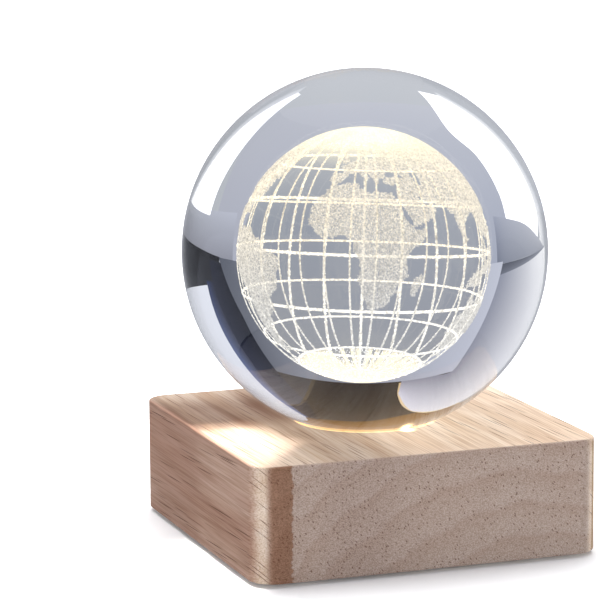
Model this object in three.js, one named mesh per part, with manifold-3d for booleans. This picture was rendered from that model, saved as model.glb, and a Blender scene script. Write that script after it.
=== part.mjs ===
// A light-up globe award: a crystal ball with a globe engraved inside it, lifted off or set
// down on a hardwood base that lights it from below.
// Millimetres, +Z up. The origin is the middle of the base on the surface it stands on.
// The front faces -Y, and the power socket and the push button are in the rear face.
import * as THREE from "three";
import { mergeVertices } from "three/addons/utils/BufferGeometryUtils.js";
import Module from "manifold-3d";

const wasm = await Module();
wasm.setup();

const degree = Math.PI / 180;

// Clearances and the overrun of cuts
const clearance = 0.3;
const overrun = 1;
const weld = 0.00001;
const facet_slack = 0.005;
const line_slack = 0.1;

// Crystal ball
const ball_radius = 40;
const ball_sink = 3.15;

// Globe engraved in the ball: its size, its place off the ball's centre, and its lines
const globe_radius = 18.2;
const globe_shift_x = -0.44;
const globe_shift_y = 0.16;
const globe_shift_z = 0.54;
const line_width = 0.4;
const line_depth = 0.4;
const land_depth = 0.2;
const vent_radius = 0.5;

// Globe angles in degrees: 25 meridians, and parallels 21 apart
const meridian_count = 25;
const first_meridian = 21;
const parallel_step = 21;
const parallel_rows = 4;
const facing_azimuth = -19.9;
const facing_longitude = 15.5;
const axis_lean = 12.9;
const axis_roll = 2.3;
const map_latitude_shift = -3;

// Wood base
const base_side = 78;
const base_height = 24.8;
const base_corner_radius = 5.5;
const base_edge_round = 0.6;
const roof_thickness = 10.6;
const light_pocket_radius = 21;
const rear_wall = 4;
const rear_bay_half_width = 14;
const rear_bay_lead_in = 6;

// Rubber feet, stuck in shallow rounds in the cover
const foot_radius = 5;
const foot_thickness = 1.6;
const foot_proud = 0.8;
const foot_inset = 13.5;
const foot_edge = 0.4;

// Bottom cover and its screws
const cover_margin = 4;
const cover_thickness = 2.2;
const cover_corner_radius = 4;
const cover_screw_inset = 5;
const cover_screw_head_radius = 2.6;
const cover_screw_head = 1.5;
const cover_screw_shank = 1.4;
const cover_screw_length = 10;

// Light window over the lamp
const window_radius = 12.4;
const window_ledge_depth = 6.1;
const window_ball_gap = 0.6;

// Reflector cup round the lamps
const reflector_radius = 10.3;
const reflector_foot_wall = 1.5;
const reflector_rim_wall = 0.6;

// Lamp board with three lamps and three resistors
const lamp_board_radius = 15;
const lamp_board_thickness = 1.6;
const lamp_count = 3;
const lamp_side = 5;
const lamp_height = 1.6;
const lamp_ring_radius = 4.6;
const lamp_well_radius = 2.1;
const lamp_well_depth = 0.4;
const resistor_length = 3.2;
const resistor_width = 1.6;
const resistor_height = 0.6;
const resistor_ring_radius = 8;
const lamp_board_screw_place = 12.8;

// Board screws
const board_screw_head_radius = 1.9;
const board_screw_head = 1.2;
const board_screw_shank = 0.9;
const board_screw_length = 6;

// Power board
const power_board_half_width = 18;
const power_board_thickness = 1.2;
const power_board_depth = 16.7;
const power_board_rise = 4.2;
const power_board_screw_x = 16;
const power_board_screw_setback = 7;

// Power socket
const socket_x = -9;
const socket_width = 8.94;
const socket_height = 3.26;
const socket_depth = 7.35;
const socket_wall = 0.3;
const socket_tongue_width = 6.7;
const socket_tongue_thickness = 0.7;
const socket_tongue_length = 5;
const socket_block_depth = 1.6;

// Push button and its switch
const button_x = 9;
const button_radius = 3;
const button_travel = 1;
const button_edge = 0.4;
const button_headroom = 1.5;
const button_flange_radius = 4;
const button_flange = 0.8;
const plunger_radius = 0.7;
const plunger_reach = 0.3;
const switch_width = 6.2;
const switch_depth = 6;
const switch_bore_depth = 2.6;
const spring_space = 3;
const spring_radius = 2;
const spring_wire = 0.22;
const spring_turns = 2.5;

// Wires from the power board to the lamp board
const wire_radius = 0.6;
const wire_x = 2.5;
const wire_top_y = 12;
const wire_foot_setback = 2.5;
const wire_pull = 3.6;

// Facets round each kind of piece
const ball_facets = 34;
const space_rows = 10;
const land_rows = 10;
const round_facets = 18;
const small_facets = 10;
const corner_facets = 4;
const edge_facets = 2;
const wire_facets = 6;
const wire_steps = 6;
const spring_facets = 5;
const spring_steps = 8;

// Heights and places that follow from the sizes above
const base_bottom_z = foot_proud;
const base_top_z = base_bottom_z + base_height;
const ball_centre_z = base_top_z + ball_radius - ball_sink;
const ceiling_z = base_top_z - roof_thickness;
const ledge_z = base_top_z - window_ledge_depth;
const cover_top_z = base_bottom_z + cover_thickness;
const cover_side = base_side - 2 * cover_margin;
const cover_screw_place = cover_side / 2 - cover_screw_inset;
const foot_place = cover_side / 2 - foot_inset;
const power_board_z = cover_top_z + power_board_rise;
const power_board_top_z = power_board_z + power_board_thickness;
const connector_z = power_board_top_z + socket_height / 2;
const bay_ceiling_z = connector_z + button_flange_radius + button_headroom;
const rear_face_y = base_side / 2;
const wall_inner_y = rear_face_y - rear_wall;
const flange_rear_y = wall_inner_y - clearance - button_flange;
const switch_front_y = flange_rear_y - spring_space;
const power_board_front = wall_inner_y - clearance - power_board_depth;
const power_board_screw_y = power_board_front + power_board_screw_setback;
const wire_foot_y = power_board_front + wire_foot_setback;
const rear_bay_front = light_pocket_radius - rear_bay_lead_in;

// Finishes
const finishes = {
  beech: { color: "#c9a88b", roughness: 0.62, metalness: 0 },
  crystal: { color: "#eef2fa", roughness: 0.02, metalness: 0, transparent: true, opacity: 0.3 },
  engraving: { color: "#fff6dc", roughness: 0.9, metalness: 0, emissive: "#c9b58a" },
  frosted: { color: "#fff3dc", roughness: 0.5, metalness: 0, transparent: true, opacity: 0.7 },
  white_gloss: { color: "#f3f3f0", roughness: 0.25, metalness: 0 },
  white_board: { color: "#e6e7e2", roughness: 0.45, metalness: 0 },
  green_board: { color: "#1f5b3a", roughness: 0.45, metalness: 0 },
  lamp: { color: "#ffe9a8", roughness: 0.4, metalness: 0, emissive: "#ffdf9a" },
  ceramic: { color: "#23211f", roughness: 0.5, metalness: 0 },
  steel: { color: "#b9bbbd", roughness: 0.3, metalness: 1 },
  black_plastic: { color: "#1d1d1e", roughness: 0.55, metalness: 0 },
  rubber: { color: "#262627", roughness: 0.85, metalness: 0 },
  red_sleeve: { color: "#b3261e", roughness: 0.45, metalness: 0 },
  black_sleeve: { color: "#1a1a1b", roughness: 0.45, metalness: 0 },
};

// Closed solid of a geometry, for cuts and joins
function solid(geometry) {
  const bare = geometry.clone();
  bare.deleteAttribute("normal");
  bare.deleteAttribute("uv");
  const merged = mergeVertices(bare, weld);
  const vertProperties = merged.attributes.position.array;
  const triVerts = new Uint32Array(merged.index.array);
  return new wasm.Manifold(new wasm.Mesh({ numProp: 3, vertProperties, triVerts }));
}

// Geometry of a finished solid
function geometryOf(made) {
  const mesh = made.asOriginal().simplify(facet_slack).getMesh();
  const geometry = new THREE.BufferGeometry();
  geometry.setAttribute("position", new THREE.BufferAttribute(mesh.vertProperties, mesh.numProp));
  geometry.setIndex(new THREE.BufferAttribute(mesh.triVerts, 1));
  geometry.computeVertexNormals();
  return geometry;
}

// Named mesh with a material of its own
function piece(name, shape, finish) {
  const geometry = shape.isBufferGeometry ? shape : geometryOf(shape);
  const mesh = new THREE.Mesh(geometry, new THREE.MeshStandardMaterial(finishes[finish]));
  mesh.name = name;
  return mesh;
}

// Solid turned about Z from a profile of [radius, height] pairs that starts and ends on the axis
function turned(profile, facets) {
  const points = profile.map(([radius, height]) => new THREE.Vector2(radius, height));
  return new THREE.LatheGeometry(points, facets).rotateX(Math.PI / 2);
}

// Round bar about Z between two heights
function bar(radius, low, high, facets) {
  const geometry = new THREE.CylinderGeometry(radius, radius, high - low, facets);
  return geometry.rotateX(Math.PI / 2).translate(0, 0, (low + high) / 2);
}

// Box between two corners
function block([x0, y0, z0], [x1, y1, z1]) {
  const geometry = new THREE.BoxGeometry(x1 - x0, y1 - y0, z1 - z0);
  return geometry.translate((x0 + x1) / 2, (y0 + y1) / 2, (z0 + z1) / 2);
}

// Outline of a rectangle with round corners
function roundedOutline(width, height, radius, outline = new THREE.Shape()) {
  const x = width / 2 - radius;
  const y = height / 2 - radius;
  outline.absarc(x, y, radius, 0, Math.PI / 2, false);
  outline.absarc(-x, y, radius, Math.PI / 2, Math.PI, false);
  outline.absarc(-x, -y, radius, Math.PI, 1.5 * Math.PI, false);
  outline.absarc(x, -y, radius, 1.5 * Math.PI, 2 * Math.PI, false);
  outline.closePath();
  return outline;
}

// Flat plate of an outline between two heights
function plate(outline, low, high) {
  const options = { depth: high - low, bevelEnabled: false, curveSegments: corner_facets };
  return new THREE.ExtrudeGeometry(outline, options).translate(0, 0, low);
}

// The four corners of a square pattern, as seen from above
function corners(place) {
  return [
    [-place, -place],
    [place, -place],
    [place, place],
    [-place, place],
  ];
}

// Screw that points up: head below, shank and a short cone above
function screw(head, shank) {
  const tip = shank.radius;
  return turned(
    [
      [0, -head.height],
      ...head.profile,
      [shank.radius, 0],
      [shank.radius, shank.length - tip],
      [0, shank.length],
    ],
    small_facets,
  );
}

function boardScrew() {
  const head = {
    height: board_screw_head,
    profile: [
      [board_screw_head_radius, -board_screw_head],
      [board_screw_head_radius, 0],
    ],
  };
  return screw(head, { radius: board_screw_shank, length: board_screw_length });
}

function coverScrew() {
  const head = {
    height: cover_screw_head,
    profile: [[cover_screw_head_radius, -cover_screw_head]],
  };
  return screw(head, { radius: cover_screw_shank, length: cover_screw_length - cover_screw_head });
}

// Direction from the globe's centre to a place on its map, in degrees
function placeOnGlobe(longitude, latitude) {
  const across = Math.cos(latitude * degree);
  return new THREE.Vector3(
    across * Math.cos(longitude * degree),
    across * Math.sin(longitude * degree),
    Math.sin(latitude * degree),
  );
}

// Wedge from the globe's centre outwards over a patch of the map. The patch's corners are drawn
// on the plane that touches the globe at the patch's middle, and each is carried out along its ray.
function radialWedge(places, inner, outer) {
  const rays = places.map(([longitude, latitude]) => placeOnGlobe(longitude, latitude));
  const middle = rays.reduce((sum, ray) => sum.add(ray), new THREE.Vector3()).normalize();
  const turn = new THREE.Quaternion().setFromUnitVectors(middle, new THREE.Vector3(0, 0, 1));
  const flat = rays.map((ray) => ray.clone().applyQuaternion(turn));
  const outline = new THREE.Shape(flat.map((ray) => new THREE.Vector2(ray.x / ray.z, ray.y / ray.z)));
  const geometry = new THREE.ExtrudeGeometry(outline, { depth: outer - inner, bevelEnabled: false });
  const position = geometry.attributes.position;
  const back = turn.clone().invert();
  for (let i = 0; i < position.count; i++) {
    const radius = position.getZ(i) > 0 ? outer : inner;
    const ray = new THREE.Vector3(position.getX(i), position.getY(i), 1).normalize();
    ray.applyQuaternion(back).multiplyScalar(radius);
    position.setXYZ(i, ray.x, ray.y, ray.z);
  }
  return geometry;
}

// Ball about the globe's axis
function sphere(radius, around, along) {
  return new THREE.SphereGeometry(radius, around, along).rotateX(Math.PI / 2);
}

// Outlines of the land on the map as [longitude, latitude] in degrees
const africa = [
  [-6, 35.5], [10, 37], [11, 33.5], [20, 31], [31, 31], [37, 21], [43, 11.5], [51, 12], [46, 3],
  [40, -3], [40.5, -14.5], [35, -20], [35, -24], [28, -33], [18.5, -34.3], [12, -17], [13.5, -8],
  [9, -1], [9.5, 4], [4, 6.3], [-7.5, 4.4], [-13, 8.5], [-17.3, 14.7], [-16.5, 21], [-10, 29.5],
];
const europe = [
  [-9, 37], [-9, 43.5], [-1.5, 44], [-4.5, 48.5], [4, 52], [9, 54], [20, 54.5], [24, 59], [30, 60],
  [48, 60], [48, 42], [38, 41], [28, 41], [23, 37.5], [19, 42], [13, 45.5], [18, 40], [16, 38],
  [10, 44], [3, 43], [-1, 37.5],
];
const scandinavia = [
  [5, 59], [5, 62], [14, 68], [25, 71], [41, 67], [35, 60], [28, 59.5], [22, 60], [25, 65.5],
  [17, 61], [16, 56], [12.5, 56],
];
const arabia = [
  [34.5, 28], [39, 21], [43.5, 12.7], [52, 16.5], [59.5, 22.5], [56, 26], [50, 27], [47, 31],
  [40, 38], [35, 36],
];
const west_asia = [
  [27, 41], [41, 41], [47, 43], [47, 60], [60, 69], [90, 75], [105, 77], [105, 22], [98, 16],
  [94, 16], [91, 22], [87, 21], [80, 13], [77, 8], [73, 17], [70, 21], [66, 25], [57, 26],
  [50, 30], [46, 31], [36, 36], [27, 37],
];
const east_asia = [
  [104, 77], [113, 74], [140, 72.5], [160, 70], [178, 69], [178, 63], [163, 60], [157, 51],
  [155, 58], [142, 59], [135, 54], [140, 50], [132, 43], [128, 40], [129, 35.5], [126, 35],
  [121, 40], [119, 35], [122, 30], [117, 24], [108, 21], [109, 12], [105, 9], [100, 13],
  [103, 1.5], [98, 9], [98, 17], [104, 23],
];
const greenland = [
  [-45, 60], [-53, 67], [-58, 75.5], [-70, 78], [-60, 82], [-30, 83.5], [-18, 79], [-20, 72],
  [-33, 68], [-41, 63],
];
const north_america = [
  [-168, 66], [-160, 70.5], [-125, 70], [-95, 69], [-82, 68], [-94, 59], [-82, 55], [-79, 51.5],
  [-78, 62], [-70, 61], [-56, 52], [-66, 50], [-61, 46], [-74, 40], [-76, 35], [-81, 31],
  [-80, 25.5], [-84, 30], [-97, 27.5], [-97, 19], [-91, 18.5], [-87, 21.5], [-83.5, 14.5],
  [-78, 8], [-84, 9.5], [-92, 14], [-105, 20], [-110, 23], [-117, 33], [-124, 40], [-124, 48],
  [-133, 56], [-150, 60], [-158, 56.5], [-165, 62],
];
const south_america = [
  [-79, 9], [-72, 12], [-62, 10.5], [-50, 1], [-44, -2.5], [-35, -6], [-39, -14], [-41, -22],
  [-48, -26], [-53, -34], [-58, -38], [-66, -46], [-69, -53], [-74, -52], [-74, -44], [-73, -37],
  [-70, -18], [-76, -14], [-81, -5], [-77, 3],
];
const australia = [
  [114, -22], [114, -34], [119, -35], [131, -31.5], [138, -35], [146, -39], [150, -37],
  [153.5, -28], [146, -19], [142.5, -11], [140, -17.5], [136, -12], [130, -13], [122, -18],
];
const madagascar = [
  [49, -12.5], [50.5, -16], [47, -25], [44, -24], [44.5, -17],
];
const antarctica = [
  [-170, -78], [-150, -77], [-120, -73], [-90, -72], [-60, -66], [-60, -74], [-30, -77], [0, -70],
  [30, -69], [60, -67], [90, -66], [120, -66], [150, -69], [170, -73],
];
const lands = [
  africa, europe, scandinavia, arabia, west_asia, east_asia, greenland, north_america,
  south_america, australia, madagascar, antarctica,
];

// Open-water places where clear crystal joins the ball's core to its outside
const open_water = [
  [-35, 10], [-20, -31], [75, -10], [60, -52], [165, 10], [165, -52], [-150, 31], [-150, -10],
  [-120, -31],
];

// Longitudes of the meridians, and half the angle that a line takes up on the globe
const column_step = 360 / meridian_count;
const longitudes = Array.from({ length: meridian_count }, (_, i) => first_meridian + i * column_step);
const map_rim = parallel_rows * parallel_step;
const half_line = line_width / 2 / globe_radius / degree;

// Engraved lines: a thin lattice of meridians and parallels with a window between each four.
// Its corners lie on both edges of every line, and each cell of that grid is solid or a window.
function graticule() {
  const rows = [];
  for (let row = -parallel_rows; row <= parallel_rows; row++) {
    rows.push(row * parallel_step - half_line, row * parallel_step + half_line);
  }
  const columns = 2 * meridian_count;
  const wrap = (column) => (column + columns) % columns;
  const corner = (row, column, side) => 2 * (row * columns + wrap(column)) + side;
  const filled = (row, column) => {
    const inside = row >= 0 && row < rows.length - 1;
    return inside && (row % 2 === 0 || wrap(column) % 2 === 0);
  };
  const points = [];
  for (const latitude of rows) {
    const spread = half_line / Math.cos(Math.min(Math.abs(latitude), map_rim) * degree);
    for (const longitude of longitudes) {
      for (const edge of [longitude - spread, longitude + spread]) {
        for (const side of [-1, 1]) {
          const radius = globe_radius + (side * line_depth) / 2;
          points.push(placeOnGlobe(edge, latitude).multiplyScalar(radius));
        }
      }
    }
  }
  const faces = [];
  const quad = (a, b, c, d) => faces.push(a, b, c, a, c, d);
  for (let row = 0; row < rows.length - 1; row++) {
    for (let column = 0; column < columns; column++) {
      if (!filled(row, column)) continue;
      const around = [
        [row, column],
        [row, column + 1],
        [row + 1, column + 1],
        [row + 1, column],
      ];
      const beyond = [
        [row - 1, column],
        [row, column + 1],
        [row + 1, column],
        [row, column - 1],
      ];
      const inner = around.map(([r, c]) => corner(r, c, 0));
      const outer = around.map(([r, c]) => corner(r, c, 1));
      quad(...outer);
      quad(...inner.toReversed());
      beyond.forEach(([r, c], i) => {
        const next = (i + 1) % 4;
        if (!filled(r, c)) quad(inner[i], inner[next], outer[next], outer[i]);
      });
    }
  }
  const geometry = new THREE.BufferGeometry().setFromPoints(points);
  geometry.setIndex(faces);
  return geometry;
}

// Engraved land: the parts of a thin hollow ball that lie over the outlines of the map
function land() {
  const outside = solid(sphere(globe_radius + land_depth / 2, meridian_count, land_rows));
  const inside = solid(sphere(globe_radius - land_depth / 2, meridian_count, land_rows));
  const ground = outside.subtract(inside);
  const wedges = lands.map((places) => {
    const shifted = places.map(([east, north]) => [east, north + map_latitude_shift]);
    return solid(radialWedge(shifted, globe_radius / 2, 2 * globe_radius));
  });
  return ground.intersect(wasm.Manifold.union(wedges));
}

// The whole engraving in the globe's own frame: north up, longitude 0 towards +X
function engraving() {
  return solid(graticule()).add(land()).asOriginal().simplify(line_slack);
}

// Clear crystal through the map window at a place, kept off the lines round the window
function bridge([longitude, latitude], inner, outer) {
  const column = Math.floor((longitude - first_meridian) / column_step);
  const row = Math.floor(latitude / parallel_step);
  const margin = half_line + clearance / globe_radius / degree;
  const south = row * parallel_step + margin;
  const north = (row + 1) * parallel_step - margin;
  const side_margin = margin / Math.cos(Math.max(Math.abs(south), Math.abs(north)) * degree);
  const west = first_meridian + column * column_step + side_margin;
  const east = first_meridian + (column + 1) * column_step - side_margin;
  const window_corners = [
    [west, south],
    [east, south],
    [east, north],
    [west, north],
  ];
  return radialWedge(window_corners, inner - overrun, outer + overrun);
}

// Turn from the globe's frame to the ball's: Africa faces the viewer, the north pole leans away
function globeTurn() {
  const up = new THREE.Vector3(0, 0, 1);
  const azimuth = facing_azimuth * degree;
  const rightward = new THREE.Vector3(Math.cos(azimuth), Math.sin(azimuth), 0);
  const towards = new THREE.Vector3(Math.sin(azimuth), -Math.cos(azimuth), 0);
  const spin = azimuth - Math.PI / 2 - facing_longitude * degree;
  const turn = new THREE.Quaternion().setFromAxisAngle(towards, -axis_roll * degree);
  turn.multiply(new THREE.Quaternion().setFromAxisAngle(rightward, -axis_lean * degree));
  return turn.multiply(new THREE.Quaternion().setFromAxisAngle(up, spin));
}
const globe_turn = globeTurn();
const globe_centre = new THREE.Vector3(globe_shift_x, globe_shift_y, globe_shift_z);

// Crystal ball: solid but for the thin space that the engraving fills, which clear crystal
// crosses in the open water, and a fine vent down to the ball's foot
function crystalBall() {
  const chord_sag = globe_radius * (1 - Math.cos((parallel_step / 2) * degree));
  const outer = globe_radius + line_depth / 2 + clearance;
  const inner = globe_radius - line_depth / 2 - chord_sag - clearance;
  const bridges = open_water.map((place) => solid(bridge(place, inner, outer)));
  const space = solid(sphere(outer, meridian_count, space_rows))
    .subtract(solid(sphere(inner, meridian_count, space_rows)))
    .subtract(wasm.Manifold.union(bridges));
  const turn = new THREE.Matrix4().compose(globe_centre, globe_turn, new THREE.Vector3(1, 1, 1));
  const vent_top = globe_shift_z - globe_radius;
  const vent = bar(vent_radius, -ball_radius - overrun, vent_top, small_facets);
  vent.translate(globe_shift_x, globe_shift_y, 0);
  return solid(sphere(ball_radius, ball_facets, ball_facets / 2))
    .subtract(space.transform(turn.elements))
    .subtract(solid(vent));
}

// Hardwood block with a dished seat, a light well, a pocket under it and a bay at the rear
function woodBase() {
  const outline = roundedOutline(
    base_side - 2 * base_edge_round,
    base_side - 2 * base_edge_round,
    base_corner_radius - base_edge_round,
  );
  const body = new THREE.ExtrudeGeometry(outline, {
    depth: base_height - 2 * base_edge_round,
    bevelThickness: base_edge_round,
    bevelSize: base_edge_round,
    bevelSegments: edge_facets,
    curveSegments: corner_facets,
  }).translate(0, 0, base_bottom_z + base_edge_round);
  const recess_side = cover_side + 2 * clearance;
  const recess_outline = roundedOutline(recess_side, recess_side, cover_corner_radius + clearance);
  const board_half = power_board_half_width + clearance;
  const bay_half = rear_bay_half_width;
  const below_z = base_bottom_z - overrun;
  const slot = roundedOutline(
    socket_width + 2 * clearance,
    socket_height + 2 * clearance,
    socket_height / 2 + clearance - socket_wall,
  );
  const slot_cut = plate(slot, 0, rear_wall + 2 * overrun).rotateX(Math.PI / 2);
  slot_cut.translate(socket_x, rear_face_y + overrun, connector_z);
  const button_cut = bar(button_radius + clearance, 0, rear_wall + 2 * overrun, small_facets);
  button_cut.rotateX(Math.PI / 2).translate(button_x, rear_face_y + overrun, connector_z);
  const ball_seat = sphere(ball_radius + clearance, ball_facets, ball_facets / 2);
  const cuts = [
    ball_seat.translate(0, 0, ball_centre_z),
    bar(window_radius + clearance, ledge_z, base_top_z, round_facets),
    bar(reflector_radius + clearance, ceiling_z - overrun, ledge_z + overrun, round_facets),
    bar(light_pocket_radius, below_z, ceiling_z, round_facets),
    block([-bay_half, rear_bay_front, below_z], [bay_half, wall_inner_y, bay_ceiling_z]),
    block([-board_half, rear_bay_front, below_z], [board_half, wall_inner_y, power_board_top_z]),
    plate(recess_outline, below_z, cover_top_z),
    slot_cut,
    button_cut,
  ];
  for (const [x, y] of corners(cover_screw_place)) {
    const depth = cover_screw_length + clearance;
    const pilot = bar(cover_screw_shank + clearance, 0, depth, small_facets);
    cuts.push(pilot.translate(x, y, base_bottom_z));
  }
  for (const side of [-1, 1]) {
    const pilot = bar(board_screw_shank + clearance, -overrun, board_screw_length, small_facets);
    cuts.push(pilot.clone().translate(side * lamp_board_screw_place, 0, ceiling_z));
    const x = side * power_board_screw_x;
    cuts.push(pilot.translate(x, power_board_screw_y, power_board_top_z));
  }
  return solid(body).subtract(wasm.Manifold.union(cuts.map(solid)));
}

// Frosted window in the seat, hollowed to follow the ball
function lightWindow() {
  const disc = bar(window_radius, ledge_z, base_top_z, round_facets);
  const hollow = sphere(ball_radius + window_ball_gap, ball_facets, ball_facets / 2);
  return solid(disc).subtract(solid(hollow.translate(0, 0, ball_centre_z)));
}

// White cup that throws the light up
function reflectorCup() {
  const top_z = ledge_z - clearance;
  const section = [
    [reflector_radius - reflector_foot_wall, ceiling_z],
    [reflector_radius, ceiling_z],
    [reflector_radius, top_z],
    [reflector_radius - reflector_rim_wall, top_z],
    [reflector_radius - reflector_foot_wall, ceiling_z],
  ];
  return turned(section, round_facets);
}

// Round board that carries the lamps
function lampBoard() {
  const bottom_z = ceiling_z - lamp_board_thickness;
  const holes = [-1, 1].map((side) => {
    const low = bottom_z - overrun;
    const hole = bar(board_screw_shank + clearance, low, ceiling_z + overrun, small_facets);
    return solid(hole.translate(side * lamp_board_screw_place, 0, 0));
  });
  const disc = solid(bar(lamp_board_radius, bottom_z, ceiling_z, round_facets));
  return disc.subtract(wasm.Manifold.union(holes));
}

// Lamp package with its round phosphor well
function lamp() {
  const half = lamp_side / 2;
  const body = solid(block([-half, -half, 0], [half, half, lamp_height]));
  const floor_z = lamp_height - lamp_well_depth;
  return body.subtract(solid(bar(lamp_well_radius, floor_z, lamp_height + overrun, small_facets)));
}

// Power board, stepped back behind the button
function powerBoard() {
  const half = power_board_half_width;
  const rear = wall_inner_y - clearance;
  const step_x = button_x - button_flange_radius - clearance;
  const outline = new THREE.Shape([
    new THREE.Vector2(-half, power_board_front),
    new THREE.Vector2(half, power_board_front),
    new THREE.Vector2(half, switch_front_y),
    new THREE.Vector2(step_x, switch_front_y),
    new THREE.Vector2(step_x, rear),
    new THREE.Vector2(-half, rear),
  ]);
  const holes = [-1, 1].map((side) => {
    const low = power_board_z - overrun;
    const high = power_board_top_z + overrun;
    const hole = bar(board_screw_shank + clearance, low, high, small_facets);
    return solid(hole.translate(side * power_board_screw_x, power_board_screw_y, 0));
  });
  const flat = solid(plate(outline, power_board_z, power_board_top_z));
  return flat.subtract(wasm.Manifold.union(holes));
}

// Socket shell: a flattened steel tube, flush with the rear face
function socketShell() {
  const outline = roundedOutline(socket_width, socket_height, socket_height / 2 - socket_wall);
  const inside = roundedOutline(
    socket_width - 2 * socket_wall,
    socket_height - 2 * socket_wall,
    socket_height / 2 - 2 * socket_wall,
    new THREE.Path(),
  );
  outline.holes.push(inside);
  return plate(outline, 0, socket_depth).rotateX(Math.PI / 2);
}

// Moulded block at the back of the socket, with the contact tongue
function socketTongue() {
  const gap = socket_wall / 2;
  const half_block = socket_width / 2 - socket_wall - gap;
  const half_height = socket_height / 2 - socket_wall - gap;
  const back = -socket_depth;
  const block_outline = roundedOutline(2 * half_block, 2 * half_height, half_height - gap);
  const moulding = plate(block_outline, 0, socket_block_depth).rotateX(Math.PI / 2);
  moulding.translate(0, back + socket_block_depth, 0);
  const half_width = socket_tongue_width / 2;
  const half_thick = socket_tongue_thickness / 2;
  const reach = back + socket_block_depth + socket_tongue_length;
  const tongue = block([-half_width, back + gap, -half_thick], [half_width, reach, half_thick]);
  return solid(moulding).add(solid(tongue));
}

// Button with its retaining flange and plunger, turned about the way it is pressed
function buttonCap() {
  const flange_front = button_flange;
  const head = clearance + button_flange + rear_wall + button_travel;
  const plunger = -(spring_space + plunger_reach);
  return turned(
    [
      [0, plunger],
      [plunger_radius, plunger],
      [plunger_radius, 0],
      [button_flange_radius, 0],
      [button_flange_radius, flange_front],
      [button_radius, flange_front],
      [button_radius, head - button_edge],
      [button_radius - button_edge, head],
      [0, head],
    ],
    small_facets,
  ).rotateX(-Math.PI / 2);
}

// Switch housing on the power board, with a bore for the plunger
function switchHousing() {
  const half = switch_width / 2;
  const half_height = socket_height / 2;
  const body = solid(block([-half, -switch_depth, -half_height], [half, 0, half_height]));
  const bore = bar(plunger_radius + clearance, -switch_bore_depth, overrun, small_facets);
  return body.subtract(solid(bore.rotateX(-Math.PI / 2)));
}

// Tube of round section along a curve
function tube(path, radius, steps, facets) {
  const section = new THREE.Shape();
  section.absarc(0, 0, radius, 0, 2 * Math.PI, false);
  const points = section.getPoints(facets).slice(0, facets);
  const outline = new THREE.Shape(points);
  return new THREE.ExtrudeGeometry(outline, { steps, extrudePath: path, bevelEnabled: false });
}

// Return spring between the switch and the button's flange
function returnSpring() {
  const end = clearance / 2 + spring_wire;
  const length = spring_space - 2 * end;
  const path = new THREE.Curve();
  path.getPoint = (share) => {
    const angle = 2 * Math.PI * spring_turns * share;
    return new THREE.Vector3(
      spring_radius * Math.cos(angle),
      end + length * share,
      spring_radius * Math.sin(angle),
    );
  };
  return tube(path, spring_wire, spring_turns * spring_steps, spring_facets);
}

// Wire that drops from the lamp board and bends back onto the power board
function wire(x) {
  const top_z = ceiling_z - lamp_board_thickness - clearance;
  const foot_z = power_board_top_z + clearance;
  const path = new THREE.CubicBezierCurve3(
    new THREE.Vector3(x, wire_top_y, top_z),
    new THREE.Vector3(x, wire_top_y, top_z - wire_pull),
    new THREE.Vector3(x, wire_foot_y, foot_z + wire_pull),
    new THREE.Vector3(x, wire_foot_y, foot_z),
  );
  return tube(path, wire_radius, wire_steps, wire_facets);
}

// Bottom cover with rounds for the feet and countersunk holes
function bottomCover() {
  const outline = roundedOutline(cover_side, cover_side, cover_corner_radius);
  const body = solid(plate(outline, base_bottom_z, cover_top_z));
  const cuts = [];
  for (const [x, y] of corners(foot_place)) {
    const recess = bar(foot_radius + clearance, 0, foot_thickness, round_facets);
    cuts.push(recess.translate(x, y, 0));
  }
  const sink = clearance + cover_screw_head_radius;
  for (const [x, y] of corners(cover_screw_place)) {
    const hole = turned(
      [
        [0, -overrun],
        [sink, -overrun],
        [sink, 0],
        [cover_screw_shank + clearance, cover_screw_head],
        [cover_screw_shank + clearance, cover_thickness + overrun],
        [0, cover_thickness + overrun],
      ],
      small_facets,
    );
    cuts.push(hole.translate(x, y, base_bottom_z));
  }
  return body.subtract(wasm.Manifold.union(cuts.map(solid)));
}

// Rubber foot with a softened lower edge
function foot() {
  return turned(
    [
      [0, 0],
      [foot_radius - foot_edge, 0],
      [foot_radius, foot_edge],
      [foot_radius, foot_thickness],
      [0, foot_thickness],
    ],
    round_facets,
  );
}

// Ball with its engraving: lifts off as one
const ball = new THREE.Group();
ball.position.z = ball_centre_z;
ball.add(piece("glass_ball", crystalBall(), "crystal"));
const engraved_globe = piece("engraved_globe", engraving(), "engraving");
engraved_globe.position.copy(globe_centre);
engraved_globe.quaternion.copy(globe_turn);
ball.add(engraved_globe);

// Base with its lamp, power and underside
const base = new THREE.Group();
base.add(piece("wood_base", woodBase(), "beech"));
base.add(piece("light_window", lightWindow(), "frosted"));
base.add(piece("reflector_cup", reflectorCup(), "white_gloss"));
base.add(piece("lamp_board", lampBoard(), "white_board"));
for (let i = 0; i < lamp_count; i++) {
  const angle = Math.PI / 2 + (2 * Math.PI * i) / lamp_count;
  const light = piece(`lamp_${i + 1}`, lamp(), "lamp");
  const x = Math.cos(angle);
  const y = Math.sin(angle);
  light.position.set(lamp_ring_radius * x, lamp_ring_radius * y, ceiling_z);
  light.rotation.z = angle;
  base.add(light);
  const half_length = resistor_length / 2;
  const half_width = resistor_width / 2;
  const chip = block([-half_width, -half_length, -resistor_height], [half_width, half_length, 0]);
  const resistor = piece(`resistor_${i + 1}`, chip, "ceramic");
  resistor.position.set(-resistor_ring_radius * x, -resistor_ring_radius * y, 0);
  resistor.position.z = ceiling_z - lamp_board_thickness;
  resistor.rotation.z = angle;
  base.add(resistor);
}
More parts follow.
